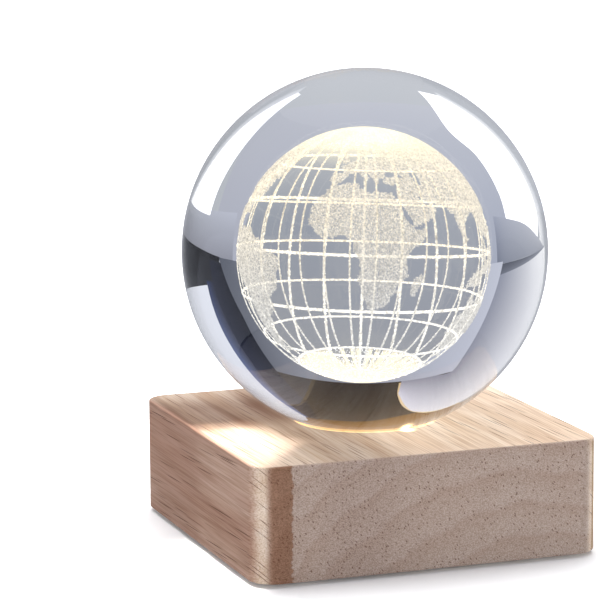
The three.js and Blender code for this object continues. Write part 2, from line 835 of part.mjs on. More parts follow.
for (const [i, side] of [-1, 1].entries()) {
  const lamp_screw = piece(`lamp_board_screw_${i + 1}`, boardScrew(), "steel");
  lamp_screw.position.set(side * lamp_board_screw_place, 0, ceiling_z - lamp_board_thickness);
  const power_screw = piece(`power_board_screw_${i + 1}`, boardScrew(), "steel");
  power_screw.position.set(side * power_board_screw_x, power_board_screw_y, power_board_z);
  base.add(lamp_screw, power_screw);
}
base.add(piece("power_board", powerBoard(), "green_board"));
const socket = new THREE.Group();
socket.position.set(socket_x, rear_face_y, connector_z);
socket.add(piece("socket_shell", socketShell(), "steel"));
socket.add(piece("socket_tongue", socketTongue(), "black_plastic"));
base.add(socket);
const switch_group = new THREE.Group();
switch_group.position.set(button_x, switch_front_y, connector_z);
switch_group.add(piece("switch_housing", switchHousing(), "black_plastic"));
switch_group.add(piece("switch_spring", returnSpring(), "steel"));
base.add(switch_group);
base.add(piece("wire_red", wire(-wire_x), "red_sleeve"));
base.add(piece("wire_black", wire(wire_x), "black_sleeve"));
base.add(piece("bottom_cover", bottomCover(), "black_plastic"));
for (const [i, [x, y]] of corners(cover_screw_place).entries()) {
  const fixing = piece(`cover_screw_${i + 1}`, coverScrew(), "steel");
  fixing.position.set(x, y, base_bottom_z + cover_screw_head);
  base.add(fixing);
}
for (const [i, [x, y]] of corners(foot_place).entries()) {
  const pad = piece(`foot_${i + 1}`, foot(), "rubber");
  pad.position.set(x, y, 0);
  base.add(pad);
}

// Button: pressed in along -Y
const button = new THREE.Group();
button.position.set(button_x, flange_rear_y, connector_z);
button.add(piece("button_cap", buttonCap(), "black_plastic"));

const globe_award = new THREE.Group();
globe_award.add(base, ball, button);

export default globe_award;
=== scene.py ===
"""Light-up globe award: a crystal ball with an engraved globe, on a wooden lamp base."""
import math

import bmesh
import bpy
import numpy as np
from bpy.props import FloatProperty, FloatVectorProperty, IntProperty, PointerProperty
from mathutils import Matrix, Vector


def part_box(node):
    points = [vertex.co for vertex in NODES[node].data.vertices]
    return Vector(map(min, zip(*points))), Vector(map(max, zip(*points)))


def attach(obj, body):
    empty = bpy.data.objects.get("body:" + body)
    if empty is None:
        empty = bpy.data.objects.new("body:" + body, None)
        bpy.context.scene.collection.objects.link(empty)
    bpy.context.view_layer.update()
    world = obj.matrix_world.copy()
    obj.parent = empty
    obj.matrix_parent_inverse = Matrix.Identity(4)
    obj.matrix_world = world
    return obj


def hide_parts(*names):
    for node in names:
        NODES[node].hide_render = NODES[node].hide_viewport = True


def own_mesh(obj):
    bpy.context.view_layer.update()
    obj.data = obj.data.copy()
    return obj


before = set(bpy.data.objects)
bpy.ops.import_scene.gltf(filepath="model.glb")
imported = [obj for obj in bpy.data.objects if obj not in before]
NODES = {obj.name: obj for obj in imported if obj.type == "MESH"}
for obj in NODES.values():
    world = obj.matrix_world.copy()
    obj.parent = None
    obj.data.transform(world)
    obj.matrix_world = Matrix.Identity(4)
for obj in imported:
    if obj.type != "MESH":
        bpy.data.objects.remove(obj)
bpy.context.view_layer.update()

bl_info = {
    "name": "Light-up globe award",
    "version": (1, 0, 0),
    "blender": (4, 5, 0),
    "location": "3D View > Sidebar > Globe award",
    "description": "Builds the crystal ball, its engraved globe, the wooden lamp base and a studio",
    "category": "Object",
}

MM = 0.001

# Places read from the frame, in metres
BALL_LOW, BALL_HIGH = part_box("glass_ball")
WOOD_LOW, WOOD_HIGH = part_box("wood_base")
WINDOW_LOW, WINDOW_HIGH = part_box("light_window")
BUTTON_LOW, BUTTON_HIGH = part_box("button_cap")
SOCKET_LOW, SOCKET_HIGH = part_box("socket_shell")
COVER_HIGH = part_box("bottom_cover")[1]
BALL_CENTRE = (BALL_LOW + BALL_HIGH) / 2
BUTTON_RADIUS = 3 * MM

WHITE, BLACK = (1.0, 1.0, 1.0, 1.0), (0.0, 0.0, 0.0, 1.0)


# Sizes and colours

def length(name, description, default):
    return FloatProperty(name=name, description=description, default=default, unit="LENGTH", precision=5)


def angle(name, description, degrees):
    return FloatProperty(name=name, description=description, default=math.radians(degrees), subtype="ANGLE")


def colour(name, description, code):
    return FloatVectorProperty(
        name=name, description=description, default=linear(code)[:3], subtype="COLOR", min=0, max=1
    )


def linear(code):
    """A colour written as sRGB hex, in the linear values that a shader reads."""
    parts = [int(code[i : i + 2], 16) / 255 for i in (1, 3, 5)]
    return tuple(p / 12.92 if p <= 0.04045 else ((p + 0.055) / 1.055) ** 2.4 for p in parts) + (1.0,)


class BallSizes(bpy.types.PropertyGroup):
    radius: length("Radius", "Radius of the crystal ball", (BALL_HIGH.x - BALL_LOW.x) / 2)
    index: FloatProperty(
        name="Refractive index", description="Optical crystal bends light this much", default=1.51
    )
    around: IntProperty(name="Facets around", description="Faces round the ball's waist", default=192)


class GlobeSizes(bpy.types.PropertyGroup):
    radius: length("Radius", "Radius of the engraved globe", 0.0182)
    shift: FloatVectorProperty(
        name="Shift", description="The globe's centre from the ball's centre", unit="LENGTH",
        default=(-0.00021, 0.00007, -0.00061), precision=5,
    )
    meridians: IntProperty(name="Meridians", description="Lines from pole to pole", default=25)
    first_meridian: angle("First meridian", "Longitude of the first line", 22)
    parallel_step: angle("Parallel step", "Angle between two parallels", 21.2)
    first_parallel: angle("First parallel", "Latitude of the middle one of the lines round the globe", 3.7)
    facing: angle("Facing", "Way that the globe's front faces", -19.9)
    facing_longitude: angle("Facing longitude", "Longitude that faces the front", 16.5)
    lean: angle("Lean", "The globe's north pole leans away from the front by this", 12.8)
    roll: angle("Roll", "The globe's north pole leans aside by this", 2.3)
    map_shift: angle("Map shift", "The land lies this far north of its true place", 0.4)
    parallel_width: length("Parallel width", "Width of the lines round the globe", 0.00038)
    meridian_width: length("Meridian width", "Width of the lines from pole to pole", 0.00036)
    crack: length("Crack", "Radius of one engraved crack in a line", 0.00007)
    land_crack: length("Land crack", "Radius of one engraved crack in the land", 0.000082)
    cap_crack: length("Cap crack", "Radius of one engraved crack near a pole", 0.00010)
    land_density: FloatProperty(
        name="Land density", description="Cracks in a square millimetre of land", default=110
    )
    warm: colour("Warm end", "Engraving at the top of the ball", "#fff4da")
    cool: colour("Cool end", "Engraving at the foot of the ball", "#fcfaf3")
    land: colour("Land", "Engraving of the land at the foot of the globe", "#d6d5d2")
    land_top: colour("Land at the top", "Engraving of the land at the top of the globe", "#ece4d3")


class BaseSizes(bpy.types.PropertyGroup):
    corner: length("Corner radius", "Rounding of the upright corners", 0.0055)
    edge: length("Edge radius", "Rounding of the other edges", 0.0004)
    ring: length("Growth ring", "Width of one growth ring of the wood", 0.0065)
    pore: length("Pore", "Width of the wood's pores", 0.00024)
    pore_length: length("Pore length", "Length of a pore where it runs along a face", 0.015)
    early: colour("Early wood", "Pale part of each growth ring", "#fdf1e2")
    late: colour("Late wood", "Darker part of each growth ring", "#f5e6d4")
    end_grain: colour("End grain", "The faces across the grain", "#b2a096")
    heart: colour("Heart", "The redder streaks", "#b19181")
    pore_colour: colour("Pore colour", "Inside of a pore", "#573524")


class LampSizes(bpy.types.PropertyGroup):
    glow: colour("Glow", "Colour of the light from the lamps", "#ffc46b")
    strength: FloatProperty(name="Strength", description="How bright the light window is", default=1.6, min=0)


class StudioSizes(bpy.types.PropertyGroup):
    lens: FloatProperty(name="Lens", description="Focal length of the camera in millimetres", default=189.3)
    camera: FloatVectorProperty(
        name="Camera", description="Place of the camera", unit="LENGTH", default=(-0.2436, -0.6321, 0.1736)
    )
    azimuth: angle("Azimuth", "Way that the camera looks", -19.88)
    elevation: angle("Elevation", "Height of the camera over the horizon", 10.2)
    roll: angle("Roll", "Turn of the camera about its own line of sight", -0.378)


# Small tools

class Field:
    """A number or colour that nodes work out at each point. Plain arithmetic with it adds more nodes."""

    def __init__(self, node, output=0):
        self.tree, self.socket = node.id_data, node.outputs[output]

    def __add__(self, other):
        return maths("ADD", self, other)

    def __sub__(self, other):
        return maths("SUBTRACT", self, other)

    def __mul__(self, other):
        return maths("MULTIPLY", self, other)

    def __truediv__(self, other):
        return maths("DIVIDE", self, other)

    def __abs__(self):
        return maths("ABSOLUTE", self)


def plain(value):
    """A colour code in the values that a shader reads, and anything else as it is."""
    return linear(value) if isinstance(value, str) and value.startswith("#") else value


def give(node, values):
    """Sets a node's inputs, or joins them to the nodes, fields or sockets that feed them."""
    for name, value in values.items():
        if isinstance(value, bpy.types.Node):
            value = value.outputs[0]
        if isinstance(value, Field):
            value = value.socket
        if isinstance(value, bpy.types.NodeSocket):
            node.id_data.links.new(value, node.inputs[name])
        else:
            node.inputs[name].default_value = plain(value)


def add(tree, kind, values=None, **settings):
    """Adds one node, sets its properties and gives its inputs their values."""
    node = tree.nodes.new(kind)
    for name, value in settings.items():
        setattr(node, name, value)
    give(node, values or {})
    return node


def bare_material(name):
    """A node material with no nodes yet."""
    made = bpy.data.materials.new(name)
    made.use_nodes = True
    made.node_tree.nodes.clear()
    return made, made.node_tree


def new_material(name):
    """A node material with one Principled shader joined to its output."""
    made, tree = bare_material(name)
    shader = add(tree, "ShaderNodeBsdfPrincipled")
    add(tree, "ShaderNodeOutputMaterial", {"Surface": shader})
    return made, tree, shader


def object_mm(tree, scale=(1, 1, 1), place=(0, 0, 0)):
    """Object coordinates in millimetres, scaled and then moved."""
    here = Field(add(tree, "ShaderNodeTexCoord"), "Object")
    factor = [s / MM for s in scale]
    return add(tree, "ShaderNodeMapping", {"Vector": here, "Scale": factor, "Location": place})


def parts(tree, vector, names="XYZ"):
    """The named parts of a vector, each as a field."""
    split = add(tree, "ShaderNodeSeparateXYZ", {"Vector": vector})
    return [Field(split, name) for name in names]


def noise(tree, scale, detail, stretch=(1, 1, 1)):
    """Smooth noise from 0 to 1, with its scale per millimetre."""
    values = {"Vector": object_mm(tree, stretch), "Scale": scale, "Detail": detail}
    return Field(add(tree, "ShaderNodeTexNoise", values), "Fac")


def ramp(source, *stops):
    """A colour ramp over source, with its stops as (position, colour)."""
    node = add(source.tree, "ShaderNodeValToRGB", {"Fac": source})
    elements = node.color_ramp.elements
    while len(elements) > 1:
        elements.remove(elements[-1])
    elements[0].position, elements[0].color = stops[0][0], plain(stops[0][1])
    for position, value in stops[1:]:
        elements.new(position).color = plain(value)
    return Field(node, "Color")


def mix(factor, a, b, blend="MIX"):
    """Colour a where factor is 0, blended with b where it is 1."""
    tree = next(v.tree for v in (factor, a, b) if isinstance(v, Field))
    return Field(add(tree, "ShaderNodeMix", {0: factor, 6: a, 7: b}, data_type="RGBA", blend_type=blend), 2)


def tinted(a, b):
    """Colour a multiplied by colour b."""
    return mix(1.0, a, b, "MULTIPLY")


def mix_value(factor, a, b):
    """a where factor is 0, b where it is 1."""
    return Field(add(factor.tree, "ShaderNodeMix", {0: factor, 2: a, 3: b}, data_type="FLOAT"))


def maths(operation, a, b=0.0):
    """A field a joined to b, a field or a number, by one sum."""
    return Field(add(a.tree, "ShaderNodeMath", {0: a, 1: b}, operation=operation))


def step(source, low, high, out_low=0.0, out_high=1.0):
    """source taken smoothly from low..high to out_low..out_high."""
    values = {"Value": source, "From Min": low, "From Max": high, "To Min": out_low, "To Max": out_high}
    return Field(add(source.tree, "ShaderNodeMapRange", values, interpolation_type="SMOOTHSTEP"), "Result")


def fall(source, low, high):
    """1 where source is below low, and smoothly down to 0 at high."""
    return step(source, low, high, 1.0, 0.0)


def shade(colour, factor=1.0):
    """An opaque colour made lighter or darker by a factor, up to white."""
    return tuple(min(1, c * factor) for c in colour[:3]) + (1,)


def mesh_piece(name, corners, faces, material=None):
    """A mesh object in metres from plain lists, linked to the scene."""
    mesh = bpy.data.meshes.new(name)
    mesh.from_pydata([tuple(c) for c in corners], [], [tuple(f) for f in faces])
    mesh.validate()
    mesh.update()
    return linked(name, mesh, material)


def linked(name, data, material=None):
    """An object that shows the data, in the scene."""
    made = bpy.data.objects.new(name, data)
    bpy.context.scene.collection.objects.link(made)
    if material:
        data.materials.append(material)
    return made


def band_faces(rows, around):
    """The quads between rows of corners that each close into a ring."""
    pairs = [(j * around + i, j * around + (i + 1) % around) for j in range(rows - 1) for i in range(around)]
    return [(a, b, b + around, a + around) for a, b in pairs]


def circle(count):
    """The cosine and sine of equal turns round a circle."""
    return [(math.cos(a), math.sin(a)) for a in np.linspace(0, 2 * math.pi, count, endpoint=False)]


def outward(made):
    """Merges doubled corners and points every face outwards."""
    work = bmesh.new()
    work.from_mesh(made.data)
    bmesh.ops.remove_doubles(work, verts=work.verts, dist=1e-7)
    bmesh.ops.recalc_face_normals(work, faces=work.faces)
    work.to_mesh(made.data)
    work.free()
    made.data.update()
    return made


def smooth(made, degrees=35):
    """Shades a piece smoothly, but keeps edges over this angle sharp."""
    made.data.shade_smooth()
    made.data.set_sharp_from_angle(angle=math.radians(degrees))
    return made


def turned(name, profile, around, material=None, axis="Z", place=(0, 0, 0)):
    """A turned solid: (radius, height) pairs in metres, closed at the axis, from its foot to its top."""
    rings = []
    corners, faces = [], []
    for radius, height in profile:
        if radius <= 0:
            rings.append([len(corners)] * around)
            corners.append((0, 0, height))
            continue
        rings.append(list(range(len(corners), len(corners) + around)))
        for k in range(around):
            turn = 2 * math.pi * k / around
            corners.append((radius * math.cos(turn), radius * math.sin(turn), height))
    for low, high in zip(rings, rings[1:]):
        for k in range(around):
            ring = [low[k], low[(k + 1) % around], high[(k + 1) % around], high[k]]
            face = [c for i, c in enumerate(ring) if c not in ring[:i]]
            if len(face) > 2:
                faces.append(face)
    turn = Matrix.Rotation(-math.pi / 2, 4, "X") if axis == "Y" else Matrix()
    spot = Matrix.Translation(place) @ turn
    return outward(mesh_piece(name, [spot @ Vector(c) for c in corners], faces, material))


def ball_profile(radius, rows):
    """The outline of a ball from its foot to its top, for turned."""
    turns = [math.pi * k / rows for k in range(1, rows)]
    side = [(radius * math.sin(t), -radius * math.cos(t)) for t in turns]
    return [(0, -radius)] + side + [(0, radius)]


def drum_profile(radius, foot, top):
    """The outline of a plain cylinder, for turned."""
    return [(0, foot), (radius, foot), (radius, top), (0, top)]


def rim_profile(radius, edge, steps=6):
    """The rounded rim of a disc, as (radius, rise): from its side in to its face."""
    turns = [math.pi / 2 * k / steps for k in range(steps + 1)]
    return [(radius - edge + edge * math.cos(t), edge * math.sin(t)) for t in turns]


def coil(name, middle, radius, wire, turns, foot, top, material):
    """A round wire wound along Y round a middle line (x, z), from foot to top."""
    per_turn, sides = 40, 12
    steps = int(turns * per_turn)
    corners = []
    for k in range(steps + 1):
        share = k / steps
        turn = 2 * math.pi * turns * share
        along = foot + wire + (top - foot - 2 * wire) * share
        for j in range(sides):
            roll = 2 * math.pi * j / sides
            out = radius + wire * math.cos(roll)
            x, z = middle[0] + out * math.cos(turn), middle[1] + out * math.sin(turn)
            corners.append((x, along + wire * math.sin(roll), z))
    faces = band_faces(steps + 1, sides)
    faces += [tuple(range(sides))[::-1], tuple(range(steps * sides, (steps + 1) * sides))]
    return outward(mesh_piece(name, corners, faces, material))


def rounded_block(name, low, high, corner, edge=0.0, around=12, edge_steps=3, axis=2, material=None):
    """A block with rounded corners round one axis, and its other edges rounded by edge."""
    work = bmesh.new()
    bmesh.ops.create_cube(work, size=1)
    low, high = Vector(low), Vector(high)
    for v in work.verts:
        v.co = Vector([(low[i] + high[i]) / 2 + v.co[i] * (high[i] - low[i]) for i in range(3)])
    along = [e for e in work.edges if abs((e.verts[0].co - e.verts[1].co)[axis]) > 1e-6]
    bmesh.ops.bevel(work, geom=along, offset=corner, segments=around, affect="EDGES", profile=0.5)
    if edge:
        ends = [
            e for e in work.edges
            if any(all(abs(v.co[axis] - end[axis]) < 1e-7 for v in e.verts) for end in (low, high))
        ]
        bmesh.ops.bevel(work, geom=ends, offset=edge, segments=edge_steps, affect="EDGES", profile=0.5)
    mesh = bpy.data.meshes.new(name)
    work.to_mesh(mesh)
    work.free()
    return linked(name, mesh, material)


def applied(made):
    """The piece with its modifiers worked into its mesh."""
    view = bpy.context.evaluated_depsgraph_get()
    view.update()
    mesh = bpy.data.meshes.new_from_object(made.evaluated_get(view))
    made.modifiers.clear()
    made.data = mesh
    return made


def cut(made, cutters):
    """Takes every cutter out of the piece."""
    for cutter in cutters:
        modifier = made.modifiers.new("cut", "BOOLEAN")
        modifier.object = cutter
        modifier.operation = "DIFFERENCE"
        modifier.solver = "EXACT"
    applied(made)
    for cutter in cutters:
        bpy.data.objects.remove(cutter)
    return made


def repaint(node, material):
    """Gives a node of the frame a finished material."""
    NODES[node].data.materials.clear()
    NODES[node].data.materials.append(material)


def settle(made, body, slot, *nodes):
    """Makes a piece ride on its body, in place of the nodes it stands for. Its slot is not used."""
    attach(made, body)
    if nodes:
        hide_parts(*nodes)


def paint_corners(made, name, values, kind="FLOAT", key="value"):
    """Keeps one value or colour for each corner of a mesh, for its material to read."""
    layer = made.data.attributes.new(name, kind, "POINT")
    layer.data.foreach_set(key, np.array(values, np.float32).ravel())


# Materials

def crystal_material(index):
    """Optical crystal, ground and polished: clear, colourless and mirror smooth."""
    made, tree, shader = new_material("polished_crystal")
    # A trace of unevenness in the tint, far too weak to see as a pattern
    tint = ramp(noise(tree, 0.05, 1.0), (0.0, "#fbfcff"), (1.0, WHITE))
    give(shader, {"Base Color": tint, "Transmission Weight": 1.0, "Roughness": 0.0, "IOR": index})
    return made


def engraving_material(name, foot, head, strength):
    """Tiny cracks shot into the crystal by a laser: matt white specks that catch the lamp's light, given a
    painted glow as emission in its stead.
    Their tone changes from foot to head over the height of the globe."""
    made, tree, shader = new_material(name)
    (z,) = parts(tree, object_mm(tree), "Z")
    centre = BALL_CENTRE.z / MM
    tone = mix(step(z, centre - 14, centre + 12), foot, head)
    tone = tinted(tone, ramp(noise(tree, 2.6, 3.0), (0.3, "#b9b9b9"), (0.6, WHITE)))
    give(shader, {
        "Base Color": tinted(tone, "#b0b0b0"),
        # Painted glow: the specks' emission stands in for the lamp's light
        "Emission Color": tone,
        "Emission Strength": strength,
        "Roughness": 0.9,
    })
    return made


def haze_material(name, tone, pole, flecks, glow):
    """Cracks too fine to tell apart: a soft veil of painted glow round a pole of the globe, brightest where
    it is edge on.
    """
    made, tree = bare_material(name)
    # Painted glow: the veil's emission stands in for the lamp's light in the cracks
    light = add(tree, "ShaderNodeEmission", {"Color": tone, "Strength": 1.4})
    clear = add(tree, "ShaderNodeBsdfTransparent")
    fade = Field(add(tree, "ShaderNodeAttribute", attribute_name="haze"), "Fac")
    # Gaps that run towards the pole, on its front side
    flat = object_mm(tree, (1, 1, 0), [-pole[0] / MM, -pole[1] / MM, 0])
    ways = add(tree, "ShaderNodeVectorMath", {0: flat}, operation="NORMALIZE")
    rays = Field(add(tree, "ShaderNodeTexNoise", {"Vector": ways, "Scale": 9.0, "Detail": 1.0}), "Fac")
    (y,) = parts(tree, flat, "Y")
    whole = maths("MAXIMUM", step(rays, 0.44, 0.52), step(y, -4.5, -1.5))
    share = fade * maths("MAXIMUM", whole, 1 - flecks)
    both = add(tree, "ShaderNodeMixShader", {0: share, 1: clear, 2: light})
    depth = add(tree, "ShaderNodeEmission", {"Color": tone, "Strength": glow})
    add(tree, "ShaderNodeOutputMaterial", {"Surface": both, "Volume": depth})
    return made


def wood_material(sizes, glow):
    """Solid beech, planed and sanded, left raw: pale and matt, with fine pores along the grain. The grain
    runs from front to back, so pores are thin lines on the top and sides and dots on the front."""
    made, tree, shader = new_material("sanded_beech")
    x, y, z = parts(tree, object_mm(tree))
    half, top = WOOD_HIGH.x / MM, WOOD_HIGH.z / MM
    early, late, heart = (shade(c) for c in (sizes.early, sizes.late, sizes.heart))

    def grain(across, along, detail=2.0):
        """Noise drawn out along the wood's grain, with its scales across and along it."""
        return noise(tree, 1.0, detail, (across, along, across))

    def cell_distance(u, v):
        """Distance from the middle of the nearest of many scattered cells, over u and v."""
        flat = add(tree, "ShaderNodeCombineXYZ", {"X": u, "Y": v})
        values = {"Vector": flat, "Scale": 1.0, "Randomness": 1.0}
        cells = add(tree, "ShaderNodeTexVoronoi", values, feature="F1", voronoi_dimensions="2D")
        return Field(cells, "Distance")

    # Growth rings: distance from a heart line below the right side, made wavy
    heart_x, heart_z, wave = 24.0, -42.0, 16.0
    away_x, away_z = x - heart_x, z - heart_z
    away = maths("SQRT", away_x * away_x + away_z * away_z)
    ring = maths("FRACT", (away + grain(0.030, 0.008) * wave) / (sizes.ring / MM))
    body = ramp(ring, (0.0, early), (0.4, early), (0.8, late), (1.0, early))
    # Redder heartwood all over the left side. Over the top's left half, a painted shadow of the ball in a
    # dull heartwood tone, streaked like the heartwood and lifted at its front corner where the window beams
    # fall
    side = fall(x, -half, -half + 1.5)
    corner = fall(x, -27, -20) * fall(y, -5, 3)
    painted_ball_shadow = fall(x, -17, 2) * step(y, 20, 42, 1.0, 0.5) * step(y, -6, 8, 0.72, 0.97)
    painted_ball_shadow = painted_ball_shadow * mix_value(corner, 1.0, 0.45)
    red = step(grain(0.16, 0.010), 0.40, 0.62)
    # Painted shadow of the ball on the top's left half, in a dull heartwood tone
    painted_shadow_tone = tuple(a * b for a, b in zip(heart, linear("#a59381")))
    body = mix(painted_ball_shadow * mix_value(red, 0.80, 1.0), body, painted_shadow_tone)
    body = mix(side * mix_value(red, 0.78, 1.0), body, heart)
    # Broad tone over the block, then streaks a few millimetres wide, then fine fibres
    for across, along, low, high, dark in (
        (0.05, 0.010, 0.32, 0.66, "#e8dace"),
        (0.24, 0.012, 0.34, 0.64, "#e8dccf"),
        (3.6, 0.05, 0.36, 0.58, "#d2c2b4"),
    ):
        tone = ramp(grain(across, along, 3.0), (low, dark), (high, WHITE))
        body = mix(0.7, body, tone, "MULTIPLY")
    # Pores: long thin tubes, seen as lines along the grain and as dots across it
    wide, long = sizes.pore / MM, sizes.pore_length / MM
    end = step(abs(y), half - 1.2, half - 0.2)
    across = x + z * 1.1 + y * 0.04
    lines = []
    for spread_x, spread_y, deep in ((7.4, 7.0, 1.0), (4.0, 3.6, 0.9)):
        edge = 0.30 / spread_x
        away = cell_distance(across / (spread_x * wide), y / (spread_y * long))
        lines.append(fall(away, edge, edge * 1.7) * deep)
    dots = step(cell_distance((x + z * 0.5) / (5.6 * wide), z / (8.6 * wide)), 0.06, 0.15, 0.75, 0.0)
    clumps = step(grain(0.30, 0.02, 1.0), 0.36, 0.56, 0.12, 1.0)
    tube = mix_value(end, maths("MAXIMUM", *lines), dots) * clumps
    # End grain: greyer than the faces along the grain, with a fine mottle and the growth rings as faint arcs
    mottle = ramp(noise(tree, 1.0, 2.0, (3.2, 3.2, 4.5)), (0.35, "#c6bdb6"), (0.62, WHITE))
    arcs = ramp(ring, (0.0, WHITE), (0.55, "#faf8f6"), (0.85, "#f3eeeb"), (1.0, WHITE))
    body = mix(end * 0.9, body, tinted(tinted(shade(sizes.end_grain), mottle), arcs))
    # A redder band beside the front left corner, on that end only, and a golden one at the right corner
    ragged = x + noise(tree, 1.0, 3.0, (0.5, 0.5, 0.9)) * 2.2
    band = fall(ragged, 8.8 - half, 9.3 - half) * step(x, 0.2 - half, 3.6 - half) * (end * fall(y, -2, 2))
    body = mix(band, body, tinted(body, "#cfb09a"))
    gold = step(x, half - 1.9, half - 1.6) * step(z, top - 1, top - 0.3, 0.8, 0.0)
    body = mix(gold, body, tinted(body, "#c6ae88"))
    body = mix(tube, body, shade(sizes.pore_colour))
    # Painted light: where the ball meets the seat's rim the wood glows in the lamp's colour, as if the lamp's
    # light leaked out there, and a painted glint sits at one spot of it towards the camera
    rim, painted_glint_place = 15.9, (3.6, -15.7, top)
    from_middle = maths("SQRT", x * x + y * y)
    painted_seat_glow = fall(from_middle, rim - 0.2, rim + 0.2) * step(z, 24.6, 25.5)
    spot = add(tree, "ShaderNodeVectorMath", {0: object_mm(tree), 1: painted_glint_place}, operation="DISTANCE")
    painted_glint = maths("POWER", fall(Field(spot, "Value"), 0.2, 3.2), 3.0)
    raised = grain(3.0, 0.08, 3.0) * 0.5 - tube
    give(shader, {
        "Base Color": body,
        "Roughness": 0.62,
        "Specular IOR Level": 0.3,
        # Painted glow and painted glint, given as the wood's emission
        "Emission Color": mix(painted_glint, mix(painted_seat_glow, BLACK, glow), (6.0, 4.6, 2.4, 1.0)),
        "Emission Strength": 1.2,
        "Normal": add(tree, "ShaderNodeBump", {"Height": raised, "Strength": 0.35, "Distance": 0.05 * MM}),
    })
    return made


def moulded_material(name, code, roughness, grain=0.6, metallic=0.0, relief=0.02):
    """A moulded, drawn or pressed finish: a slightly cloudy colour, and a fine texture grain mm wide."""
    made, tree, shader = new_material(name)
    base, spread = linear(code), 0.12
    cloud, fine = noise(tree, 0.25, 3.0), noise(tree, 1 / grain, 2.0)
    give(shader, {
        "Base Color": ramp(cloud, (0.3, shade(base, 1 - spread)), (0.7, shade(base, 1 + spread))),
        "Roughness": step(fine, 0.3, 0.7, roughness * 0.85, roughness * 1.15),
        "Normal": add(tree, "ShaderNodeBump", {"Height": fine, "Strength": 0.3, "Distance": relief * MM}),
        "Metallic": metallic,
    })
    return made


def glowing_material(name, code, glow, strength):
    """A frosted or phosphor face that the lamps light from behind."""
    made, tree, shader = new_material(name)
    frost, base = noise(tree, 2.0, 3.0), linear(code)
    give(shader, {
        "Base Color": ramp(frost, (0.3, shade(base, 0.92)), (0.7, base)),
        "Emission Color": ramp(frost, (0.2, shade(glow, 0.85)), (0.8, glow)),
        "Emission Strength": strength,
        "Roughness": 0.5,
    })
    return made


# The engraved globe

# Coasts as longitude,latitude in degrees, drawn from general knowledge of the world map
AFRICA = """-6,35.8 -2,35.1 3,36.9 10,37.3 11,35 10.2,34 15.2,32.3 19,30.3 20.1,32.4 23.2,32.2 29,30.9
32.3,31.2 32.6,29.9 34.2,26.5 35.6,23.9 37.2,21 37.4,18.6 39.5,15.5 43.2,12.4 43.3,11.5 45,10.5
51.2,11.9 50.8,9.5 48,4.5 44,1.2 40.3,-2.6 38.8,-6.2 40.4,-10.5 40.8,-14.8 37,-17.6 34.8,-19.9
35.5,-23.8 32.6,-26 32,-28.9 28.5,-32.7 25.6,-34 20,-34.8 18.3,-34 18.2,-31.8 15.5,-27.5 14.4,-22.6
11.8,-17.5 13.6,-12.3 13.1,-8.6 11.8,-4.6 9.3,-1.8 9.6,1.2 9.7,3.8 8.6,4.7 6,4.3 4.3,6.3 1,6 -2.1,4.8
-4.6,5.2 -7.6,4.4 -9.8,6 -12.9,7.9 -13.8,9.8 -16.7,12.4 -17.4,14.7 -16.2,18.5 -17,21 -15.8,23.9
-13.2,27.6 -10,29.4 -9.7,31.5 -6.8,34"""
EURASIA = """-5.6,36 -8.9,37 -9.4,38.8 -8.8,43.2 -1.8,43.4 -1.2,46 -4.6,48.3 -1.6,48.7 1.6,50.9 4.3,52.2
8.2,53.8 8.2,57 10.6,57.6 10.8,54.2 14,54 18.6,54.7 21,55.3 21.5,57.4 24.3,57.4 23.5,59.3 30,59.9
26,60.4 22.5,60.1 21.3,61.5 25.3,65 22,65.7 17.3,62 17,60.6 18.8,59.9 16.5,56.8 14.3,55.5 12.8,55.7
11.2,59 8,58.1 5.4,59 5,61.9 9.5,63.7 13,66 16,68.6 21,70 27,71.1 31,70.3 41,67.8 40.5,66.4 34,66.7
37.5,64 44,66 44,68.5 54,68.4 60,68.8 68,68.3 67,71.5 73,71.5 72,68 74,67.5 75,72.5 81,72 87,75 98,76.2
104,77.7 113,76 110,74 127,73 131,71 140,72.4 152,71 160,69.7 170,70 178,68.8 180,65 177.5,62.5 170,60
163.5,58.5 162.8,56 160,53.2 156.8,51 155.8,56.5 162,61 156,61.7 148,59.4 142,59 136,54.6 141,52.8
140.3,48.5 135.5,44 130.7,42.3 127.6,39.7 129.4,36 126.5,34.5 126.5,37.5 121.5,39 118,39 122.3,37
119.3,35 121.9,31 119.8,26 116,22.9 110.3,21 108,21.5 105.7,19 109.2,12 105,8.8 100.5,13.3 99.3,9.5
103.4,4 103.5,1.4 100.5,4 98.5,8.2 97.7,16 94.5,16 92.2,21 88.5,21.8 85,19.5 80.2,15.5 80,12.5 77.5,8
76,11 73,17 72.8,20.5 70.5,20.9 69,22.3 66.5,25.2 61.5,25.2 57,26.9 51.5,27.9 49.5,30.1 48,29.8 50,26.5
51.5,25.4 54,24.1 56.3,26.2 59.8,22.5 57.8,19 52.2,15.6 45,12.8 43.4,12.7 42.8,16 39.2,21.3 36.6,25.9
35,28.1 34.3,31.3 35.9,35.9 36,36.9 32.5,36 30.6,36.8 27.5,36.8 26.5,39.5 29,41 31.5,41.3 35,42
41.5,41.6 39,44 36.8,45.4 35,46.2 34,44.4 32.5,46 30.7,46.3 28.6,43.7 28,42 28.9,41.1 26,40.7 23.6,40.2
24,37.8 22.5,36.5 21.2,37.8 19.4,41.4 16,43.6 13.7,45.4 12.4,44.8 13.6,43.5 16.1,41.8 18.4,40.1 17,40.5
16.2,38 15.8,40 12.3,41.7 10.3,43.4 8.7,44.4 6.6,43.1 3.1,43.2 3.2,41.8 0,39.5 -0.7,37.7 -2.2,36.7"""
